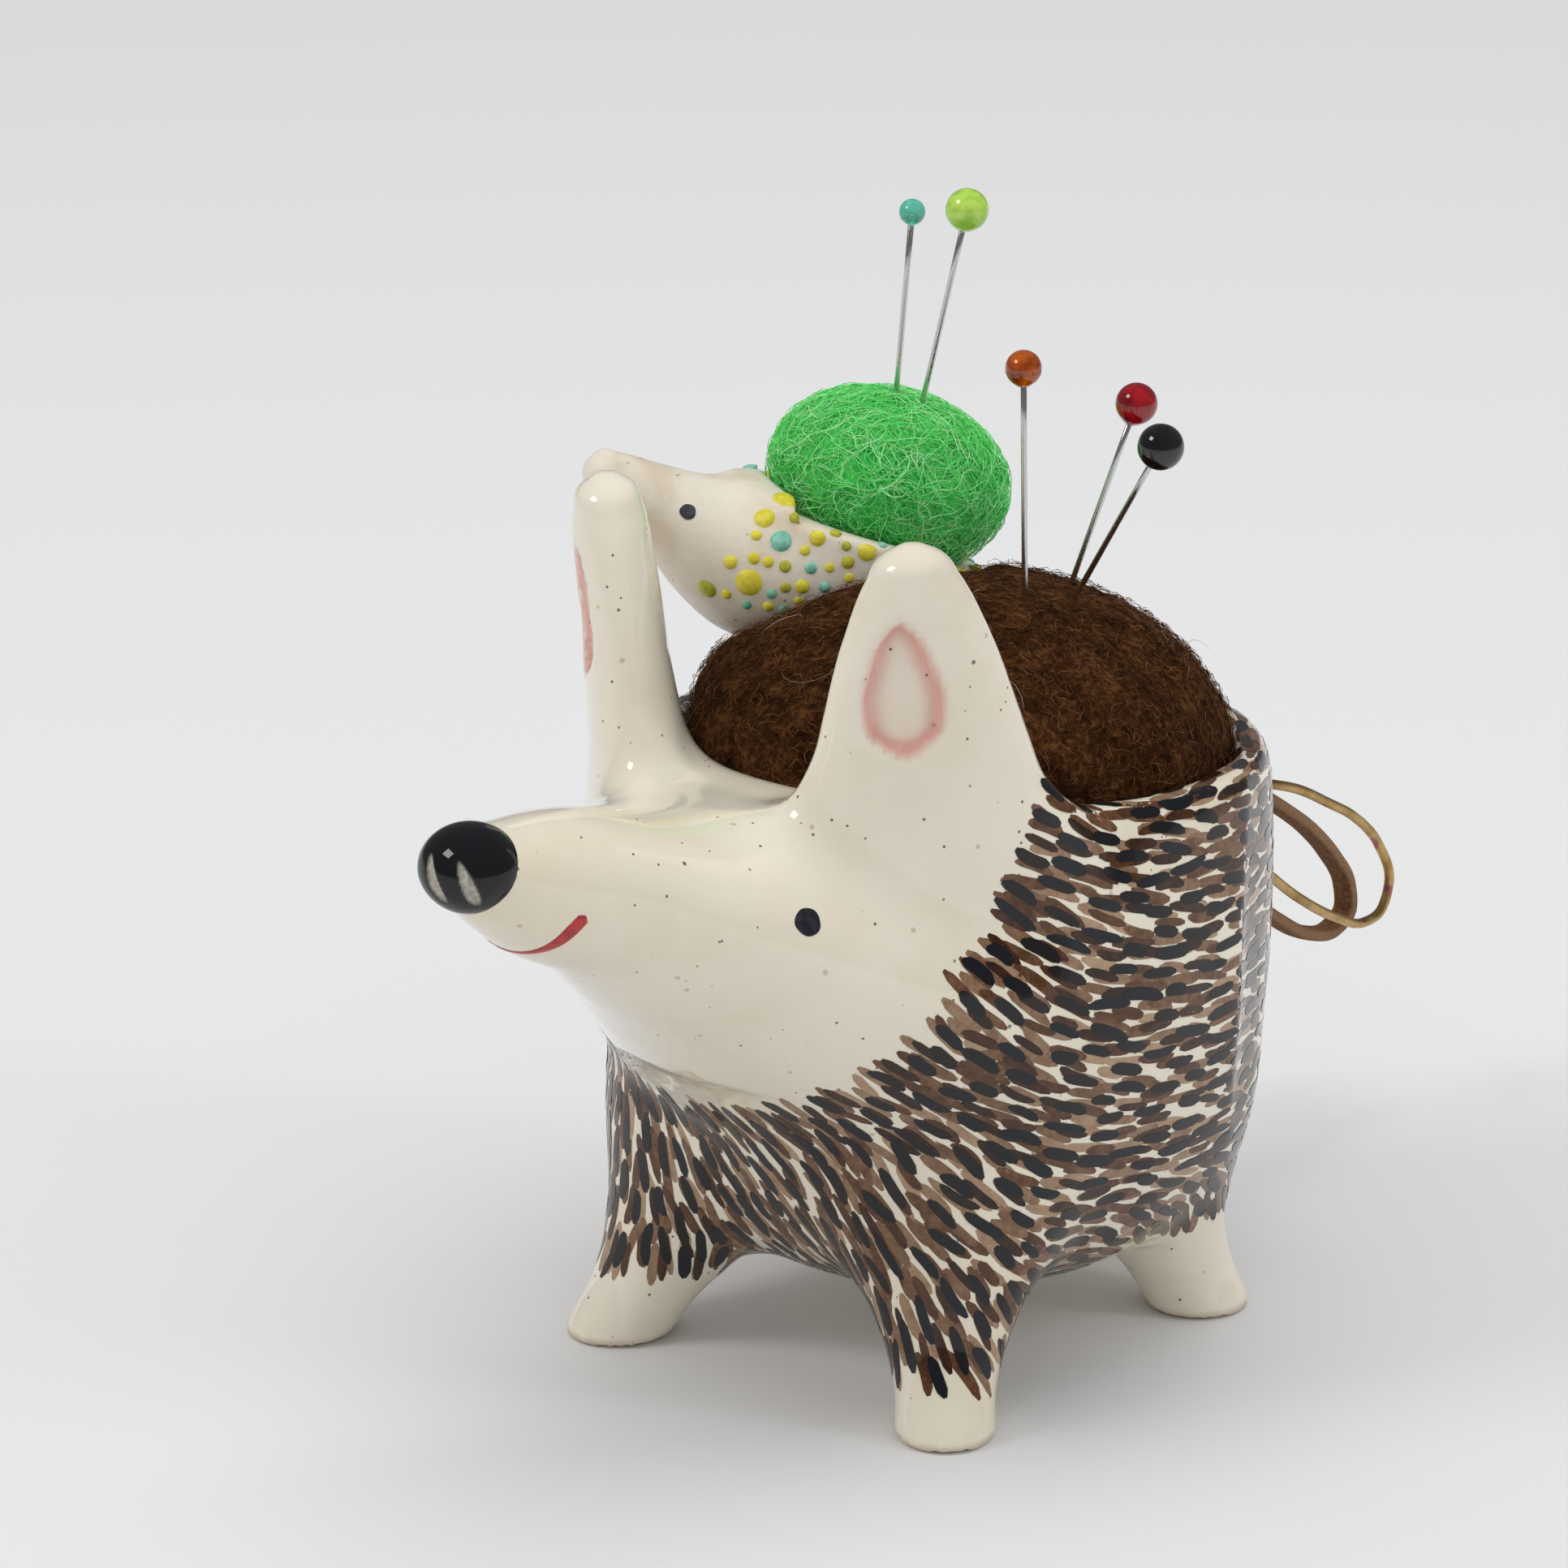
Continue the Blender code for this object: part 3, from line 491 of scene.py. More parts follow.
def steelFinish():
    f = Finish("pinSteel")
    drawn = f.noise(6000, 2, 0.5)
    return f.principled(
        Base_Color=f.mix(drawn, (0.55, 0.55, 0.56), (0.74, 0.74, 0.75)), Metallic=1.0,
        Roughness=f.between(0.3, 0.7, drawn, (0.16, 0.3)), Normal=f.bump(drawn, 0.00001, 0.4))


def bronzeFinish():
    f = Finish("patinatedBronze")
    broad = f.noise(260, 3, 0.6)
    spots = f.noise(900, 4, 0.7)
    metal = f.ramp(broad, [(0.30, (0.26, 0.14, 0.045)), (0.48, (0.48, 0.30, 0.10)),
                           (0.62, (0.58, 0.40, 0.17)), (0.74, (0.30, 0.20, 0.11))])
    green = f.between(0.60, 0.70, spots)
    rose = f.between(0.66, 0.74, f.noise(430, 2, 0.5))
    colour = f.mix(green * 0.7, metal, (0.26, 0.33, 0.16))
    colour = f.mix(rose * 0.8, colour, (0.42, 0.09, 0.16))
    return f.principled(
        Base_Color=colour, Metallic=f.between(0, 1, green, (0.95, 0.5)),
        Roughness=f.between(0.3, 0.7, spots, (0.28, 0.5)), Normal=f.bump(spots, 0.00004, 0.5))


def suedeFinish():
    f = Finish("suedeLace")
    nap = f.noise(2600, 4, 0.8)
    # the lighter brown mixed in toward the lace's long edges is a painted highlight
    paintedEdgeHighlight = f.kept("edge")
    base = f.ramp(f.between(0.3, 0.7, nap), [(0.0, (0.085, 0.035, 0.014)), (0.6, (0.175, 0.078, 0.033)),
                                            (1.0, (0.27, 0.14, 0.07))])
    base = f.mix(paintedEdgeHighlight * 0.65, base, (0.36, 0.22, 0.13))
    return f.principled(
        Base_Color=base, Roughness=f.between(0.3, 0.7, nap, (0.85, 1.0)), Normal=f.bump(nap, 0.00025, 0.9),
        Sheen_Weight=0.35, Sheen_Roughness=0.4, Sheen_Tint=(0.5, 0.33, 0.2, 1.0), Specular_IOR_Level=0.15)


# tail lace: the one free cord

lace = {
    "route": [(4.0, 1.2), (9.0, 0.6), (16.0, -2.4), (22.7, -6.4), (27.2, -9.6), (30.6, -12.8),
              (33.2, -16.4), (33.4, -19.0), (31.0, -20.2), (27.0, -19.4), (22.0, -16.6), (15.0, -11.2),
              (8.5, -5.6), (4.0, -2.2)],
    "side": -1.1, "width": 2.2, "thickness": 1.25, "inside": -2.4, "apart": 1.4, "spacing": 0.45,
}
tailHole = np.array([0.0, 32.96, 37.0])
tailHoleRadius = 3.2


def laceLine():
    ends = [(lace["inside"], lace["apart"]), (0.0, lace["apart"])]
    back = [(0.0, -lace["apart"]), (lace["inside"], -lace["apart"])]
    knots = [tailHole + (lace["side"], y, z) for y, z in ends + lace["route"] + back]
    return alongPath(knots, lace["spacing"])


laceLineMm = laceLine()
laceLength = float(np.linalg.norm(np.diff(laceLineMm, axis=0), axis=1).sum())
laceAcross = np.array([1.0, 0.0, 0.0])
lacePoints, laceFaces = tubeAlong(laceLineMm, lace["width"] / 2, lace["thickness"] / 2, 20, laceAcross)
# painted highlight: the lace gets lighter toward both long edges, where its rounded sides catch the light
laceEdgeHighlight = smoothStep(0.80, 1.0, np.abs(lacePoints[:, 0] - tailHole[0] - lace["side"]) / (lace["width"] / 2))
laceMade = meshObject("laceLoop", lacePoints, laceFaces, suedeFinish(), {"edge": laceEdgeHighlight})
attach(laceMade, "root")
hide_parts("tail_lace")
print("lace made, length in mm:", round(laceLength, 1))


# mother: one fired clay body

pot = {
    "halfWidth": 25.5, "halfLength": 27.5, "middle": 7.0,
    "heights": [6.6, 7.3, 8.6, 10.8, 14, 18, 23, 29, 36, 44, 50, 54],
    "shares": [0.30, 0.56, 0.69, 0.79, 0.865, 0.925, 0.965, 0.99, 1.0, 0.995, 0.98, 0.975],
    "wall": 3.0, "floor": 11.0, "lip": 51.4, "lipFall": 0.06, "gauge": 21,
}
head = {
    "y": [-58, -54, -50, -44, -36, -28, -20, -12, 6],
    "z": [55.3, 54.2, 52.5, 50.4, 46.2, 41.8, 37.6, 34.8, 33],
    "wide": [1.5, 4.3, 5.5, 7.5, 11.4, 16, 19.8, 21.5, 19],
    "tall": [1.5, 4.0, 5.5, 6.8, 8.9, 11.1, 12.3, 13.0, 11],
}
ear = {
    "base": (15.2, -15.5, 46.0), "tip": (16.2, -19.4, 75.9), "faces": math.radians(50),
    "at": [-0.4, -0.15, 0.1, 0.28, 0.5, 0.75, 0.9, 0.97, 1.0],
    "wide": np.array([0.35, 0.66, 0.76, 0.685, 0.565, 0.405, 0.265, 0.165, 0.05]) * 14.2,
    "thick": np.array([0.2, 0.6, 0.95, 0.9, 0.82, 0.76, 0.66, 0.48, 0.15]) * 4.3,
    "hollowAt": [0.45, 0.50, 0.58, 0.68, 0.78, 0.82],
    "hollowWide": [0.3, 2.4, 3.1, 2.5, 1.2, 0.2],
    "hollowDepth": 0.85, "hollowAside": -1.8, "leftLean": (-0.75, -0.55, 0.0),
}
legs = {
    "foot": (17.6, -17.5, 18.5), "top": (11.5, -9.5, 14.0), "topHeight": 18.0, "end": -0.8,
    "heights": [0.0, 3.0, 5.0, 7.5, 10.0, 13.0, 16.0, 18.0],
    "radii": [4.15, 4.15, 4.5, 5.4, 6.6, 8.4, 10.0, 10.6],
}
nose = {"centre": (0.0, -54.9, 55.4), "half": (4.1, 4.0, 3.55)}
fillet = {"lip": 2.0, "neck": 14, "trimEdge": 4.0, "trim": 5.0, "ear": 5, "leg": 6, "rim": 2.2,
          "hole": 0.8, "sole": 1.2}


def potShare(p):
    # 1 on the pot's widest outline, in plan
    return oval(p[..., 0] / pot["halfWidth"], (p[..., 1] - pot["middle"]) / pot["halfLength"])


def potField(p):
    radius = throughStations(p[..., 2], pot["heights"], pot["shares"])
    d = (potShare(p) - radius) * pot["gauge"]
    return np.maximum(np.maximum(d, pot["heights"][0] - p[..., 2]), p[..., 2] - pot["heights"][-1])


def lipField(p):
    return p[..., 2] - (pot["lip"] - pot["lipFall"] * (p[..., 1] - pot["middle"]))


def headField(p):
    # a tube along Y whose middle height, width and height run through stations
    y = p[..., 1]
    z, a, b = (throughStations(y, head["y"], head[k]) for k in ("z", "wide", "tall"))
    d = (oval(p[..., 0] / a, (p[..., 2] - z) / b) - 1) * np.minimum(a, b) * 0.8
    return np.maximum(np.maximum(d, head["y"][0] - y), y - head["y"][-1])


def earPlace(p, side):
    # a point as share along the ear, millimetres across it, and millimetres out of its face
    # the left ear leans in a little, as pressed on by hand
    lean = np.array(ear["leftLean"]) * (side > 0)
    base, tip = (np.array(ear[k]) * (side, 1, 1) + lean for k in ("base", "tip"))
    along = tip - base
    length = np.linalg.norm(along)
    along = along / length
    face = np.array([math.sin(ear["faces"]) * side, -math.cos(ear["faces"]), 0.0])
    face = unit(face - along * (face @ along))
    across = np.cross(along, face)
    q = p - base
    return (q @ along) / length, q @ across, q @ face, length


def earField(p, side):
    h, u, v, length = earPlace(p, side)
    wide, thick = throughStations(h, ear["at"], ear["wide"]), throughStations(h, ear["at"], ear["thick"])
    d = (oval(u / wide, v / thick) - 1) * thick * 0.9
    return np.maximum(np.maximum(d, (ear["at"][0] - h) * length), (h - 1) * length)


def earHollow(p, side):
    # signed distance, roughly, from the drop-shaped outline painted and pressed into the ear's face
    h, u, v, length = earPlace(p, side)
    wide = throughStations(h, ear["hollowAt"], ear["hollowWide"])
    ends = np.maximum((ear["hollowAt"][0] - h) * length, (h - ear["hollowAt"][-1]) * length)
    outline = smoothMax(np.abs(u - ear["hollowAside"] * side) - wide, ends, 0.8) * 0.8
    return outline, np.where(v > 0, 0.0, 9.0)


def legField(p, side, front):
    fx, fy, tall = side * legs["foot"][0], legs["foot"][1 if front else 2], legs["topHeight"]
    a = np.array([side * legs["top"][0], legs["top"][1 if front else 2], tall])
    b = np.array([fx, fy, legs["end"]])
    line = b - a
    t = np.clip(((p - a) @ line) / (line @ line), 0, 1)
    near = np.linalg.norm(p - a - t[..., None] * line, axis=-1)
    return near - throughStations(tall + (legs["end"] - tall) * t, legs["heights"], legs["radii"])


def outerField(p):
    d = smoothMax(potField(p), lipField(p), fillet["lip"])
    d = smoothMin(d, headField(p), fillet["neck"])
    # the head is trimmed to the lip inside the pot's own outline
    trim = smoothMax(-lipField(p) + 0.2, (potShare(p) - 1.03) * pot["gauge"], fillet["trimEdge"])
    d = smoothMax(d, -trim, fillet["trim"])
    for side in (1, -1):
        d = smoothMin(d, earField(p, side), fillet["ear"])
        for front in (True, False):
            d = smoothMin(d, legField(p, side, front), fillet["leg"])
    return d


def cavityField(p):
    radius = throughStations(p[..., 2], pot["heights"], pot["shares"]) - pot["wall"] / 26
    return np.maximum((potShare(p) - radius) * pot["gauge"], pot["floor"] - p[..., 2])


def bodyField(p):
    d = smoothMax(outerField(p), -cavityField(p), fillet["rim"])
    hole = np.linalg.norm(p[..., [0, 2]] - tailHole[[0, 2]], axis=-1) - tailHoleRadius
    d = smoothMax(d, np.where(p[..., 1] > 20, -hole, -9), fillet["hole"])
    for side in (1, -1):
        outline, wrong = earHollow(p, side)
        d = d + ear["hollowDepth"] * smoothStep(0.25, -0.6, outline + wrong)
    return smoothMax(d, 0.05 - p[..., 2], fillet["sole"])


bodyPoints, bodyFaces = skinOf(bodyField, (-27.5, -61, -1.2), (27.5, 38, 78), cell=0.62)
earPink = np.zeros(len(bodyPoints))
for side in (1, -1):
    outline, wrong = earHollow(bodyPoints, side)
    rim = smoothStep(0.35, -0.15, outline + wrong) * (0.12 + 0.88 * smoothStep(-1.5, -0.3, outline))
    earPink = np.maximum(earPink, rim)
bareClay = smoothStep(0.9, 0.25, bodyPoints[:, 2])
motherMade = meshObject("hedgehogBody", bodyPoints, bodyFaces, glazedFinish(),
                        {"earPink": earPink, "bareClay": bareClay})
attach(motherMade, "root")
print("body made:", len(bodyFaces) * 2, "triangles")

# nose: a flattened ball, two slots left bare of the black glaze
noseSlots = {"turns": (38, -6), "drops": (-3, -1), "lean": 0.32, "half": (8, 30), "depth": 0.22}


def makeNose():
    points, faces, sphere = ballGrid(nose["centre"], nose["half"], 110, 160)
    east = np.degrees(np.arctan2(sphere[:, 0], -sphere[:, 1]))
    north = np.degrees(np.arcsin(np.clip(sphere[:, 2], -1, 1)))
    slot = np.zeros(len(points))
    for turn, drop in zip(noseSlots["turns"], noseSlots["drops"]):
        up, over = north - drop, (east - turn) * np.cos(np.radians(north))
        over = (over + noseSlots["lean"] * up) / (noseSlots["half"][0] * (1 - 0.010 * up))
        inside = 1 - oval(over, up / noseSlots["half"][1])
        slot = np.maximum(slot, smoothStep(-0.12, 0.16, inside))
    # fuller above, drawn to a blunt point below, as wet clay pressed on
    points[:, 0] *= 1 - 0.10 * np.clip(-sphere[:, 2], 0, 1) ** 2
    points = points - sphere * slot[:, None] * noseSlots["depth"]
    made = meshObject("nose", points, faces, noseFinish(), {"nostril": slot})
    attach(made, "root")


makeNose()


# brush strokes lie on the clay as thin patches, each brought onto the body's own surface

def strokes(name, centres, flows, lengths, widths, bends, lifts, tones, finish, field):
    # half width along a stroke is that of an oval, a little squarer; its middle bends as a parabola
    rows, columns = 7, 3
    each = rows * columns
    normal = unit(slopeOf(field, centres))
    flows = unit(flows - normal * (flows * normal).sum(-1, keepdims=True))
    side = np.cross(normal, flows)
    t = np.linspace(-1, 1, rows)
    half = np.maximum(1 - np.abs(t) ** 4.5, 0.0) ** 0.5
    half[[0, -1]] = 0.34
    lengths, widths, bends = (v[:, None, None] for v in (lengths, widths, bends))
    reach = lengths / 2 * t[:, None]
    shift = bends * (t**2)[:, None] + widths / 2 * half[:, None] * np.linspace(-1, 1, columns)
    p = centres[:, None, None] + flows[:, None, None] * reach[..., None]
    p = p + side[:, None, None] * shift[..., None]
    flat = onto(field, p.reshape(-1, 3), 3)
    out = unit(slopeOf(field, flat))
    flat = flat + out * np.repeat(lifts, each)[:, None]
    faces = repeated(gridFaces(rows, columns, False), len(centres), each)
    faces = facing(flat, faces, out[faces[:, 0]])
    return meshObject(name, flat, faces, finish, {"tone": np.repeat(tones, each)})


quillCoat = {
    "turn": [-56, -51, -45, -35, -25, -13, 0, 8, 23, 33, 38, 45.5, 50.6, 55],
    "from": [62, 54, 45, 33, 27, 25.5, 26.8, 28.3, 32, 37.5, 41.4, 47.1, 53.4, 62],
    "layers": [
        # along, across, length, width, lowest lift, highest lift, lowest tone, highest tone
        (3.4, 0.92, 4.4, 0.95, 0.012, 0.026, 0.56, 1.0),
        (3.8, 1.30, 4.0, 0.86, 0.028, 0.040, 0.36, 0.72),
        (3.8, 1.62, 3.7, 1.00, 0.044, 0.056, 0.00, 0.32),
    ],
    "bare": {"frontLeft": 4.4, "frontRight": 6.0, "back": 9.0},
    "parting": 24.0, "faceTurn": 56, "highest": 56, "tried": 16000, "most": 2600,
    "fallAt": [0, 25, 38, 50, 60, 70, 78, 92, 110, 180],
    "fall": [86, 72, 60, 50, 42, 34, 28, 14, 7, 4],
}


def quillFlow(p):
    # lies level and backwards on the sides and steepens to straight down under the face;
    # the parting is a little to the hedgehog's right
    x, y, z = p[..., 0], p[..., 1], p[..., 2]
    turn = np.degrees(np.arctan2(x, pot["middle"] - y)) + quillCoat["parting"]
    fall = np.interp(np.abs(turn), quillCoat["fallAt"], quillCoat["fall"])
    leg = np.interp(np.abs(turn), [0, 60, 85, 110, 180], [76, 66, 26, 52, 60])
    fall = np.radians(fall + (leg - fall) * smoothStep(19, 9, z))
    out = unit(np.stack([x / pot["halfWidth"] ** 2, (y - pot["middle"]) / pot["halfLength"] ** 2, 0 * x], -1))
    back = np.stack([-out[..., 1], out[..., 0], 0 * x], -1) * np.where(turn > 0, 1.0, -1.0)[..., None]
    return back * np.cos(fall)[..., None] - np.array([0, 0, 1.0]) * np.sin(fall)[..., None]


def quilled(p, margin=0.0):
    # True where the coat of quills lies: outside, behind the face's border and above the bare feet
    x, y, z = p[..., 0], p[..., 1], p[..., 2]
    turn = np.degrees(np.arctan2(x, pot["middle"] - y))
    border = np.interp(turn, quillCoat["turn"], quillCoat["from"])
    ownFoot = np.where(y > 2, quillCoat["bare"]["back"],
                       np.where(x > 0, quillCoat["bare"]["frontLeft"], quillCoat["bare"]["frontRight"]))
    belly = (z < 14) & (potShare(p) < 0.62)
    tail = np.linalg.norm(p[..., [0, 2]] - tailHole[[0, 2]], axis=-1) < 4.0
    face = (z > border - margin) & (np.abs(turn) <= quillCoat["faceTurn"])
    return ~face & (z > ownFoot + margin) & ~belly & ~(tail & (y > 20)) & (z <= quillCoat["highest"])


def strewn(points, flows, along, across, limit):
    # keeps a point only if no kept one is within an oval of it, long along the strokes
    kept = np.zeros((limit, 3))
    picks = []
    for i in range(len(points)):
        n = len(picks)
        gap = kept[:n] - points[i]
        run = gap @ flows[i]
        off = (gap**2).sum(-1) - run**2
        if n == 0 or ((run / along) ** 2 + off / across**2).min() > 1:
            kept[n] = points[i]
            picks.append(i)
            if len(picks) == limit:
                break
    return np.array(picks)


def makeQuills():
    dice = np.random.default_rng(7)
    outside = np.abs(outerField(bodyPoints)) < 0.35
    seat = bodyPoints[outside & quilled(bodyPoints, 1.2)]
    normal = unit(slopeOf(bodyField, seat))
    flow = quillFlow(seat)
    flow = unit(flow - normal * (flow * normal).sum(-1, keepdims=True))
    layers = []
    for along, across, length, width, lowLift, highLift, lowTone, highTone in quillCoat["layers"]:
        order = dice.permutation(len(seat))[:quillCoat["tried"]]
        picks = order[strewn(seat[order], flow[order], along, across, quillCoat["most"])]
        n = len(picks)
        lean = dice.normal(0, 0.10, n)[:, None]
        size = dice.uniform(0.8, 1.18, n)
        layers.append((seat[picks], flow[picks] + np.cross(normal[picks], flow[picks]) * lean,
                       length * size * dice.uniform(0.85, 1.12, n), width * dice.uniform(0.8, 1.15, n),
                       dice.normal(0, 0.12, n), dice.uniform(lowLift, highLift, n),
                       dice.uniform(lowTone, highTone, n)))
    coat = [np.concatenate(v) for v in zip(*layers)]
    made = strokes("quillCoat", *coat, quillFinish(), bodyField)
    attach(made, "root")
    print("quills made:", len(coat[0]), "strokes")


makeQuills()


def discOn(name, field, centre, radius, rise, finish, body):
    # a low dome of paint: rings of a disc brought onto the surface, lifted most in the middle
    rings, sides = 7, 28
    centre = onto(field, np.array([centre], float), 6)
    normal = unit(slopeOf(field, centre))[0]
    side = unit(np.cross(normal, np.array([0.3, 0.2, 1.0])))
    up = np.cross(normal, side)
    r = np.linspace(0, 1, rings + 1)[1:]
    angle, c, s = circle(sides)
    wobble = 1 + 0.03 * np.sin(3 * angle + 1) + 0.02 * np.sin(5 * angle)
    flat = (side * c[:, None] + up * s[:, None]) * wobble[:, None]
    p = centre + (flat[None] * r[:, None, None] * radius).reshape(-1, 3)
    p = onto(field, np.concatenate([p, centre]), 3)
    height = np.append(np.repeat(np.sqrt(1 - r**2 * 0.98), sides), 1.0)
    p = p + unit(slopeOf(field, p)) * (0.02 + rise * height)[:, None]
    first = np.arange(sides)
    cap = np.stack([first, np.roll(first, -1), np.full(sides, rings * sides)], -1)
    faces = np.concatenate([halved(gridFaces(rings, sides, True)), cap])
    made = meshObject(name, p, facing(p, faces, normal), finish)
    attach(made, body)


eyePaint = paintFinish("eyeGlaze", (0.012, 0.013, 0.018), (0.03, 0.032, 0.042))
for side, label in ((1, "Left"), (-1, "Right")):
    discOn("eye" + label, bodyField, (14.0 * side, -30.6, 47.4), radius=1.15, rise=0.05,
           finish=eyePaint, body="root")

smile = {"knots": [(5.6, -48.2, 51.0), (5.1, -49.0, 50.0), (4.1, -49.6, 48.9), (2.7, -50.2, 47.9),
                   (1.2, -50.5, 47.4), (0.0, -50.6, 47.2)], "widths": [1.15, 1.3, 1.1, 0.8, 0.6, 0.5]}


def makeSmile():
    half = onto(bodyField, np.array(smile["knots"]), 6)
    other = half[::-1][1:] * (-1, 1, 1)
    line = onto(bodyField, alongPath(np.concatenate([half, other]), 0.3), 4)
    t = np.linspace(-1, 1, len(line))
    wide = np.interp(np.abs(t), np.linspace(0, 1, 6), smile["widths"][::-1]) / 2
    wide = wide * np.sqrt(np.clip((1 - np.abs(t)) / 0.03, 0.05, 1))
    normal = unit(slopeOf(bodyField, line))
    side = unit(np.cross(normal, np.gradient(line, axis=0)))
    across = np.linspace(-1, 1, 5)
    p = (line[:, None] + side[:, None] * (wide[:, None] * across)[..., None]).reshape(-1, 3)
    p = onto(bodyField, p, 3)
    out = unit(slopeOf(bodyField, p))
    p = p + out * (0.02 + 0.06 * np.tile(1 - across**2, len(line)))[:, None]
    faces = gridFaces(len(line), 5, False)
    red = paintFinish("redMouthPaint", (0.33, 0.012, 0.014), (0.50, 0.03, 0.028))
    made = meshObject("smile", p, facing(p, faces, out[faces[:, 0]]), red)
    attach(made, "root")


makeSmile()
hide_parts("mother_body")
print("face painted")


# baby: a smaller clay body in its own millimetres, round the middle of its wool ball

baby = {
    "place": (-13.3, 14.4, 68.5), "turn": -34.4, "pitch": -15.0,
    "half": (11.2, 11.8, 12.508), "middle": -1.692, "rim": -3.6, "rimFrom": -12.6, "rimFall": 0.28,
    "y": [-26.3, -25.4, -23.5, -20.0, -16.0, -11.4, -6.0, 0.0],
    "z": [-4.2, -4.2, -4.6, -6.0, -7.9, -9.0, -8.6, -8.2],
    "wide": [0.8, 1.9, 2.6, 4.0, 6.0, 8.2, 9.4, 9.0],
    "tall": [0.8, 1.8, 2.3, 3.4, 5.0, 6.4, 6.6, 5.6],
}
ball = {"half": 10.2, "crown": 7.1, "under": 7.99, "pinTop": 7.8, "fibreRoot": 0.965, "gauge": 8}
babyTurn = np.array(Euler((math.radians(baby["pitch"]), 0.0, math.radians(baby["turn"]))).to_matrix())


def fromBaby(p):
    return p @ babyTurn.T + baby["place"]


def toBaby(p):
    return (p - baby["place"]) @ babyTurn


def ballShape(p, grow=0.0):
    tall = np.where(p[..., 2] > 0, ball["crown"], ball["under"]) + grow
    half = ball["half"] + grow
    return (oval(p[..., 0] / half, p[..., 1] / half, p[..., 2] / tall) - 1) * ball["gauge"]


def ballHalves(up):
    # half sizes of the ball for points above its middle (up over 0) or below it
    tall = np.where(up > 0, ball["crown"], ball["under"])
    return np.stack([np.full(len(up), ball["half"])] * 2 + [tall], -1)


def babySolid(p):
    x, y, up = np.moveaxis(p - (0, 0, baby["middle"]), -1, 0)
    q = oval(x / baby["half"][0], y / baby["half"][1], up / baby["half"][2])
    z, a, b = (throughStations(y, baby["y"], baby[k]) for k in ("z", "wide", "tall"))
    cone = (oval(x / a, (p[..., 2] - z) / b) - 1) * np.minimum(a, b) * 0.8
    cone = np.maximum(np.maximum(cone, baby["y"][0] - y), y)
    # the pot stops at its rim, which runs out where the head leaves it
    trimmed = smoothMax((q - 1) * 11, p[..., 2] - baby["rim"] + baby["rimFall"] * np.maximum(y, 0), 1.2)
    return smoothMin(trimmed, cone, 5)


def babyLocal(p):
    d = smoothMax(babySolid(p), -ballShape(p, 0.3), 0.7)
    above = np.where(p[..., 1] > baby["rimFrom"] + 3.0, p[..., 2] - baby["rim"], -9)
    return smoothMax(d, above, 1.0)


def babyField(p):
    return babyLocal(toBaby(p))


localPoints, babyFaces = skinOf(babyLocal, (-13, -28, -16), (13, 14, 2), cell=0.42)
babyMade = meshObject("babyBody", fromBaby(localPoints), babyFaces, clayFinish())
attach(babyMade, "baby")
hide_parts("baby_body")
print("baby made:", len(babyFaces) * 2, "triangles")

babyEye = paintFinish("babyEyePaint", (0.03, 0.035, 0.045), (0.07, 0.075, 0.09), 0.3)
for side, label in ((1, "Left"), (-1, "Right")):
    spot = fromBaby(np.array([4.8 * side, -18.3, -5.0]))
    discOn("babyEye" + label, babyField, spot, radius=0.68, rise=0.12,
           finish=babyEye, body="baby")

babyDots = {
    "most": 250, "from": -12.2, "spread": 0.42, "gap": 0.2, "small": 0.42, "large": 1.25,
    "ringShares": np.array([1.0, 0.82, 0.45]), "ringRises": np.array([-0.04, 0.55, 0.92]), "rise": 0.34,
    # name, lowest and highest draw, dark and light paint
    "kinds": [("Teal", 0.0, 0.27, (0.13, 0.46, 0.34), (0.28, 0.62, 0.48)),
              ("Olive", 0.27, 0.55, (0.36, 0.37, 0.02), (0.54, 0.50, 0.04)),
              ("Yellow", 0.55, 1.01, (0.66, 0.57, 0.02), (0.80, 0.71, 0.07))],
}


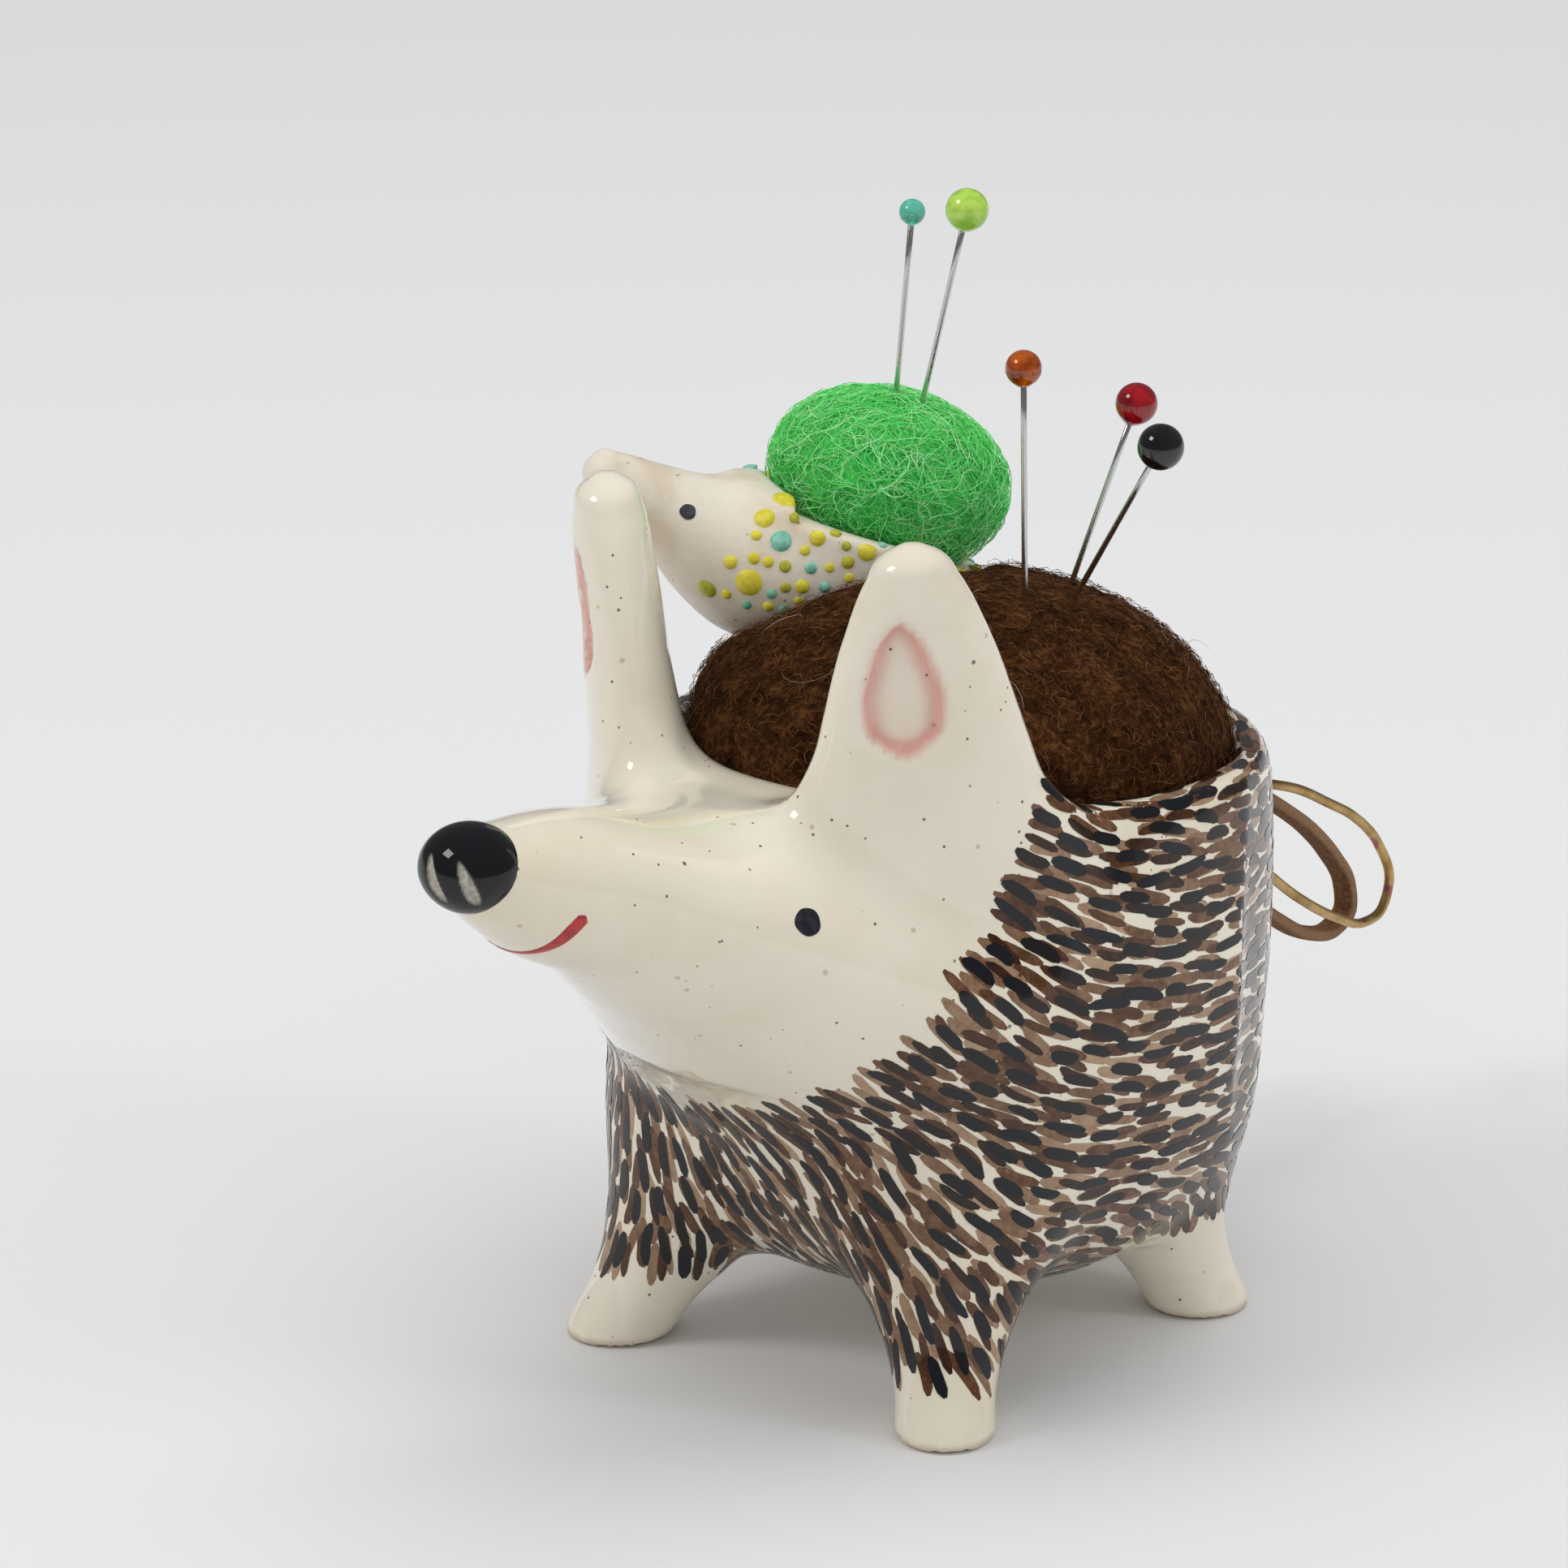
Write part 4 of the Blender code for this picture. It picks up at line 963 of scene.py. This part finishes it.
def makeDots():
    # raised dots of thick paint, each a low dome of three rings
    dice = np.random.default_rng(21)
    p = localPoints[dice.permutation(len(localPoints))]
    normal = unit(slopeOf(babyLocal, p))
    outer = (np.abs(babySolid(p)) < 0.25) & (ballShape(p) > 1.2)
    edge = babyDots["from"] + babyDots["spread"] * (p[:, 2] + 4) + 0.7 * np.sin(p[:, 2] * 1.7)
    ok = outer & (p[:, 1] > edge) & (p[:, 2] > -11.5)
    p, normal = p[ok], normal[ok]
    picks, sizes = [], []
    for i in range(len(p)):
        size = babyDots["small"] + (babyDots["large"] - babyDots["small"]) * dice.random() ** 1.25
        room = size + babyDots["gap"]
        if all(np.linalg.norm(p[i] - p[j]) > room + other for j, other in zip(picks, sizes)):
            picks.append(i)
            sizes.append(size)
        if len(picks) == babyDots["most"]:
            break
    picks, sizes = np.array(picks), np.array(sizes)
    drawn = dice.random(len(picks))
    rings, sides = len(babyDots["ringShares"]), 12
    first = np.arange(sides) + (rings - 1) * sides
    cap = np.stack([first, np.roll(first, -1), np.full(sides, rings * sides)], -1)
    one = np.concatenate([halved(gridFaces(rings, sides, True)), cap])
    c, s = circle(sides)[1:]
    for label, lowest, highest, dark, light in babyDots["kinds"]:
        use = (drawn >= lowest) & (drawn < highest)
        centre, out, size = p[picks[use]], normal[picks[use]], sizes[use][:, None]
        side = unit(np.cross(out, np.array([0.2, 0.1, 1.0])))
        up = np.cross(out, side)
        ring = side[:, None, None] * c[:, None] + up[:, None, None] * s[:, None]
        q = centre[:, None, None] + ring * (size * babyDots["ringShares"])[..., None, None]
        q = onto(babyLocal, q.reshape(-1, 3), 3).reshape(q.shape)
        rise = babyDots["rise"] * np.minimum(1, size / 0.7)
        q = q + out[:, None, None] * (rise * babyDots["ringRises"])[..., None, None]
        top = onto(babyLocal, centre, 2) + out * rise
        points = np.concatenate([q.reshape(len(size), -1, 3), top[:, None]], 1).reshape(-1, 3)
        faces = repeated(one, len(size), rings * sides + 1)
        faces = facing(points, faces, np.repeat(out, len(one), axis=0))
        made = meshObject("babyDots" + label, fromBaby(points), faces, dotFinish("dots" + label, dark, light))
        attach(made, "baby")
    print("dots made:", len(picks))


makeDots()


# wool: a stuffed dome in the pot, and a felted ball in the baby

crown = {"half": (21.8, 23.8), "rise": 14.0, "sink": 13.0, "lip": 49.8, "dent": 0.35, "gauge": 13}


def crownHeight(x, y):
    share = 1 - (x / crown["half"][0]) ** 2 - ((y - pot["middle"]) / crown["half"][1]) ** 2
    return crown["lip"] + crown["rise"] * math.sqrt(max(0.0, share))


def lumps(p, size, seed):
    # smooth unevenness: sines of three slanted directions, multiplied in pairs
    a = np.sin(p @ np.array([0.9, 0.5, 0.7]) / size + seed)
    b = np.sin(p @ np.array([-0.6, 0.9, 0.35]) / size * 1.3 + seed * 2.1)
    c = np.sin(p @ np.array([0.3, -0.75, 0.95]) / size * 0.8 + seed * 0.7)
    return (a * b + b * c + c * a) / 2


def woolField(p):
    z = p[..., 2] - crown["lip"] + pot["lipFall"] * (p[..., 1] - pot["middle"])
    tall = np.where(z > 0, crown["rise"], crown["sink"])
    q = oval(p[..., 0] / crown["half"][0], (p[..., 1] - pot["middle"]) / crown["half"][1], z / tall)
    d = (q - 1) * crown["gauge"] - 0.22 * lumps(p, 3.2, 1.3) - 0.10 * lumps(p, 1.1, 4.0)
    solid = np.minimum(babySolid(toBaby(p)), ballShape(toBaby(p)))
    return smoothMax(d, crown["dent"] - solid, 2.4)


woolPoints, woolFaces = skinOf(woolField, (-24, -19, 35), (24, 33, 67), cell=0.6)
brownWool = woolFinish("brownWool", (0.012, 0.004, 0.0015), (0.072, 0.026, 0.008), (0.20, 0.085, 0.028))
woolMade = meshObject("woolDome", woolPoints, woolFaces, brownWool)
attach(woolMade, "root")
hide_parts("cushion_cover")
print("wool dome made:", len(woolFaces) * 2, "triangles")


def fibres(name, points, normal, dice, hair, finish, seat):
    # each fibre runs along the wool in a wandering curve, rising from it and coming back;
    # seat() brings points onto the wool and gives the way out there
    n = len(points)
    turn = unit(np.cross(normal, dice.normal(size=(n, 3))))
    other = np.cross(normal, turn)
    t = np.linspace(0, 1, hair["steps"])[None, :]
    length = hair["length"] * dice.uniform(0.5, 1.4, n)[:, None]
    bend = dice.normal(0, hair["curl"], (n, 1))
    wave = dice.uniform(0, 6.3, (n, 1))
    heading = bend * t + 0.5 * hair["curl"] * np.sin(wave + 5 * t)
    step = length / (hair["steps"] - 1)
    along = np.cumsum(np.cos(heading), 1) * step
    aside = np.cumsum(np.sin(heading), 1) * step
    flat = points[:, None] + turn[:, None] * along[..., None] + other[:, None] * aside[..., None]
    flat, out = seat(flat.reshape(-1, 3))
    lift = hair["lift"] * dice.uniform(0.12, 1.0, n)[:, None] ** 1.7
    height = lift * np.sin(math.pi * np.clip(t * hair["fall"] + 0.04, 0, 1)) - 0.04
    paths = flat.reshape(n, -1, 3) + out.reshape(n, -1, 3) * height[..., None]
    thick = hair["radius"] * dice.uniform(0.7, 1.3, (n, 1)) * (1 - 0.75 * np.abs(2 * t - 1) ** 3)
    p, faces = manyTubes(paths, thick, 3)
    tones = np.repeat(dice.random(n), hair["steps"] * 3)
    return meshObject(name, p, faces, finish, {"tone": tones})


def makeFuzz():
    dice = np.random.default_rng(3)
    shown = woolPoints[:, 2] > crown["lip"] - 1.5 - pot["lipFall"] * (woolPoints[:, 1] - pot["middle"])
    clear = np.minimum(babySolid(toBaby(woolPoints)), ballShape(toBaby(woolPoints))) > 0.9
    seats = woolPoints[shown & clear]
    hair = {"count": 8200, "steps": 4, "length": 1.7, "curl": 1.3, "lift": 0.6, "fall": 0.7, "radius": 0.027}
    stray = {"count": 14, "steps": 9, "length": 8.0, "curl": 1.6, "lift": 1.2, "fall": 0.85, "radius": 0.022}
    pick = seats[dice.integers(0, len(seats), hair["count"])]
    pick = onto(woolField, pick + dice.normal(0, 0.12, pick.shape), 2)
    normal = unit(slopeOf(woolField, pick))

    def seat(p):
        p = onto(woolField, p, 1)
        return p, unit(slopeOf(woolField, p))

    brown = fibreFinish("brownFibre", (0.020, 0.007, 0.0025), (0.085, 0.033, 0.011), (0.26, 0.115, 0.045))
    made = fibres("woolFuzz", pick, normal, dice, hair, brown, seat)
    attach(made, "root")
    pale = fibreFinish("strayFibre", (0.30, 0.25, 0.20), (0.55, 0.50, 0.44), (0.80, 0.78, 0.74))
    made = fibres("strayHairs", pick[:stray["count"]], normal[:stray["count"]], dice, stray, pale, seat)
    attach(made, "root")


makeFuzz()
print("wool fuzz made")


def makeBall():
    dice = np.random.default_rng(11)
    faces, sphere = ballGrid((0, 0, 0), (1, 1, 1), 110, 180)[1:]
    local = sphere * ballHalves(sphere[:, 2])
    local = local * (1 - 0.035 + 0.016 * lumps(local, 2.1, 2.2) + 0.008 * lumps(local, 0.8, 5.0))[:, None]
    low = np.clip(-local[:, 2:3] - 2.5, 0, 1)
    local[:, :2] *= 1 - 0.04 * low
    made = meshObject("woolBall", fromBaby(local), faces,
                      woolFinish("greenWool", (0.04, 0.48, 0.08), (0.10, 0.84, 0.14), (0.30, 0.97, 0.30)))
    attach(made, "baby")
    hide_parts("baby_wool_ball")
    # an even spread over the ball, not over its latitude lines
    hair = {"count": 4300, "steps": 7, "length": 5.5, "curl": 1.3, "lift": 0.8, "fall": 0.8, "radius": 0.034}
    even = unit(dice.normal(size=(7600, 3)))
    even = even[even[:, 2] > -0.40][:hair["count"]]
    pick = even * ballHalves(even[:, 2]) * ball["fibreRoot"]
    normal = unit(even / ballHalves(even[:, 2]))

    def seat(p):
        p = toBaby(p)
        p = p * ball["fibreRoot"] / np.maximum(ballShape(p) / ball["gauge"] + 1, 0.2)[:, None]
        return fromBaby(p), unit(p / ballHalves(p[:, 2]) ** 2) @ babyTurn.T

    green = fibreFinish("greenFibre", (0.07, 0.62, 0.11), (0.18, 0.94, 0.23), (0.58, 1.0, 0.55))
    fuzz = fibres("ballFibres", fromBaby(pick), normal @ babyTurn.T, dice, hair, green, seat)
    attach(fuzz, "baby")


makeBall()
print("wool ball made")


# pins: where each enters, its lean, how deep it is, its head's radius, and its glass

pins = {
    "length": 24.0, "radius": 0.25, "taper": 3.0,
    "amber": {"at": (5.8, 8.0), "lean": (0.075, -0.126, 0.989), "depth": 4.0, "head": 1.5,
              "dark": (0.33, 0.045, 0.001), "light": (0.72, 0.15, 0.005), "clear": 0.5},
    "red": {"at": (4.4, 16.6), "lean": (0.306, 0.098, 0.947), "depth": 8.0, "head": 1.75,
            "dark": (0.20, 0.002, 0.006), "light": (0.40, 0.006, 0.014), "clear": 0.1},
    "black": {"at": (8.1, 11.8), "lean": (0.578, -0.236, 0.781), "depth": 4.0, "head": 1.9,
              "dark": (0.004, 0.004, 0.005), "light": (0.010, 0.010, 0.012), "clear": 0.0},
    "teal": {"on": (0.4, 0.5, 0.0), "lean": (0.148, -0.068, 0.987), "depth": 8.4, "head": 1.1,
             "dark": (0.06, 0.52, 0.38), "light": (0.20, 0.74, 0.57), "clear": 0.45},
    "lime": {"on": (3.3, 0.5, 0.3), "lean": (0.280, -0.044, 0.959), "depth": 7.0, "head": 1.8,
             "dark": (0.30, 0.56, 0.05), "light": (0.48, 0.72, 0.12), "clear": 0.0},
}


def makePin(name, steel):
    pin = pins[name]
    along = unit(np.array(pin["lean"]))
    if "at" in pin:
        entry = np.array([*pin["at"], crownHeight(*pin["at"])])
    else:
        x, y, below = pin["on"]
        entry = np.array(baby["place"]) + (x, y, ball["pinTop"] - below)
    tip = entry - along * pin["depth"]
    run = np.array([0, 0.02, 0.4, 1.2, 2.2, pins["taper"], 6, 12, 18, pins["length"] - 0.02, pins["length"]])
    size = np.array([0.0, 0.14, 0.34, 0.66, 0.90, 1, 1, 1, 1, 1, 0.0]) * pins["radius"]
    path = (tip + along * run[:, None])[None]
    points, faces = manyTubes(path, size[None], 20)
    shaft = meshObject(name + "Shaft", points, faces, steel)
    radius = pin["head"]
    grip = min(1.3, radius * 0.9)
    centre = tip + along * (pins["length"] - grip + radius)
    # the glass draws down a little on to the shaft
    ballPoints, ballFaces, sphere = ballGrid((0, 0, 0), (radius,) * 3, 48, 64)
    neck = np.clip(-sphere[:, 2] - 0.82, 0, 1)
    ballPoints[:, 2] -= neck * radius * 0.5
    side = unit(np.cross(along, np.array([0.3, 1.0, 0.2])))
    turn = np.stack([side, np.cross(along, side), along], 0)
    glass = glassFinish(name + "Glass", pin["dark"], pin["light"], pin["clear"])
    knob = meshObject(name + "Head", ballPoints @ turn + centre, ballFaces, glass)
    for made, node, slot in ((shaft, "pin_shaft_", "pin_steel"), (knob, "pin_head_", "glass_" + name)):
        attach(made, "pin_" + name)
        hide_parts(node + name)


pinSteel = steelFinish()
for name in ("amber", "red", "black", "teal", "lime"):
    makePin(name, pinSteel)
print("pins made")


# tail wire: one bronze loop, its ends spread inside the pot

wire = {
    "route": [(4.0, 2.2), (8.5, 0.8), (15.5, -1.6), (22.0, -4.0), (26.5, -6.4), (30.5, -8.7), (34.6, -12.4),
              (36.6, -16.6), (35.4, -19.0), (32.4, -19.4), (28.6, -17.9), (22.2, -14.2), (16.0, -9.6),
              (8.5, -3.9), (4.0, -1.5)],
    "side": 1.5, "inside": -3.8, "rise": 0.72, "radius": 0.45,
}


def makeWire():
    inside, rise, x = wire["inside"], wire["rise"], wire["side"]
    spread = [(x + 3.6, inside, 1.2), (x + 1.5, inside, rise * 1.2),
              (x + 0.2, inside + 0.9, rise), (x, 0.0, rise)]
    knots = spread + [(x, y, z) for y, z in wire["route"]] + [(a, b, -c) for a, b, c in reversed(spread)]
    line = alongPath([tailHole + k for k in knots], 0.35)
    points, faces = tubeAlong(line, wire["radius"], wire["radius"], 18, np.array([1.0, 0.13, 0.2]))
    # a round section: tubeAlong's squarer oval is pulled back onto a circle
    rings = points.reshape(-1, 18, 3)
    middle = rings.mean(1, keepdims=True)
    off = rings - middle
    size = np.linalg.norm(off, axis=-1, keepdims=True)
    rings = middle + off / np.maximum(size, 1e-6) * np.minimum(size, wire["radius"])
    made = meshObject("wireLoop", rings.reshape(-1, 3), faces, bronzeFinish())
    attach(made, "tail_loop")
    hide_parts("tail_wire")


makeWire()
print("wire made")


# what stays inside the pot keeps its CAD shape and gets its own finish

inner = {
    "cushion_stuffing": plainFinish("stuffingFibre", (0.62, 0.60, 0.55), (0.86, 0.84, 0.80), 0.85, 1500),
    "gathering_thread": plainFinish("brownThread", (0.05, 0.03, 0.02), (0.13, 0.08, 0.05), 0.75, 3000),
    "cushion_glue": plainFinish("driedGlue", (0.66, 0.62, 0.50), (0.80, 0.77, 0.66), 0.25, 400),
    "tail_knot": suedeFinish(),
}
for node, finish in inner.items():
    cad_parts[node].data.materials.clear()
    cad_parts[node].data.materials.append(finish)


# floor, lights and surroundings

studio = {
    "floor": (0.77, 0.77, 0.77), "world": (0.98, 0.985, 1.0), "worldStrength": 0.67, "mirrored": 0.16,
    "lit": (0, 0, 0.04),
    "lights": [
        # place, size, power, colour, whether it shows in the glaze
        ((-0.42, -0.62, 0.80), (0.34, 0.26), 2.2, (1.0, 0.985, 0.96), True),
        ((0.85, 0.30, 0.50), (0.16, 0.70), 1.4, (0.97, 0.985, 1.0), False),
        ((0.05, 0.10, 0.95), (0.60, 0.60), 2.5, (1.0, 1.0, 1.0), False),
    ],
}


def makeStudio():
    floorFinish = Finish("paleSweep")
    cloud = floorFinish.noise(3, 2)
    grey = studio["floor"]
    base = floorFinish.mix(cloud, grey, tuple(c * 0.985 for c in grey))
    paper = floorFinish.principled(Base_Color=base, Roughness=floorFinish.between(0, 1, cloud, (0.9, 0.95)),
                                   Specular_IOR_Level=0.2)
    mesh = bpy.data.meshes.new("floor")
    mesh.from_pydata([(-6, -6, 0), (6, -6, 0), (6, 6, 0), (-6, 6, 0)], [], [(0, 1, 2, 3)])
    mesh.materials.append(paper)
    floor = placed("floor", mesh)
    world = bpy.data.worlds.new("room")
    bpy.context.scene.world = world
    world.use_nodes = True
    back = world.node_tree.nodes["Background"]
    back.inputs["Color"].default_value = (*studio["world"], 1.0)
    # what the glaze mirrors of the room is dimmer than the light that the room gives
    rays = world.node_tree.nodes.new("ShaderNodeLightPath")
    dim = world.node_tree.nodes.new("ShaderNodeMapRange")
    dim.inputs["To Min"].default_value = studio["worldStrength"]
    dim.inputs["To Max"].default_value = studio["mirrored"]
    world.node_tree.links.new(rays.outputs["Is Glossy Ray"], dim.inputs["Value"])
    world.node_tree.links.new(dim.outputs["Result"], back.inputs["Strength"])
    for number, (place, size, power, colour, shows) in enumerate(studio["lights"]):
        data = bpy.data.lights.new("softbox" + str(number), "AREA")
        data.shape = "RECTANGLE"
        data.size, data.size_y = size
        data.energy, data.color = power, colour
        made = placed(data.name, data, place, studio["lit"])
        made.visible_glossy = shows


makeStudio()
bpy.context.scene.view_settings.view_transform = "Standard"
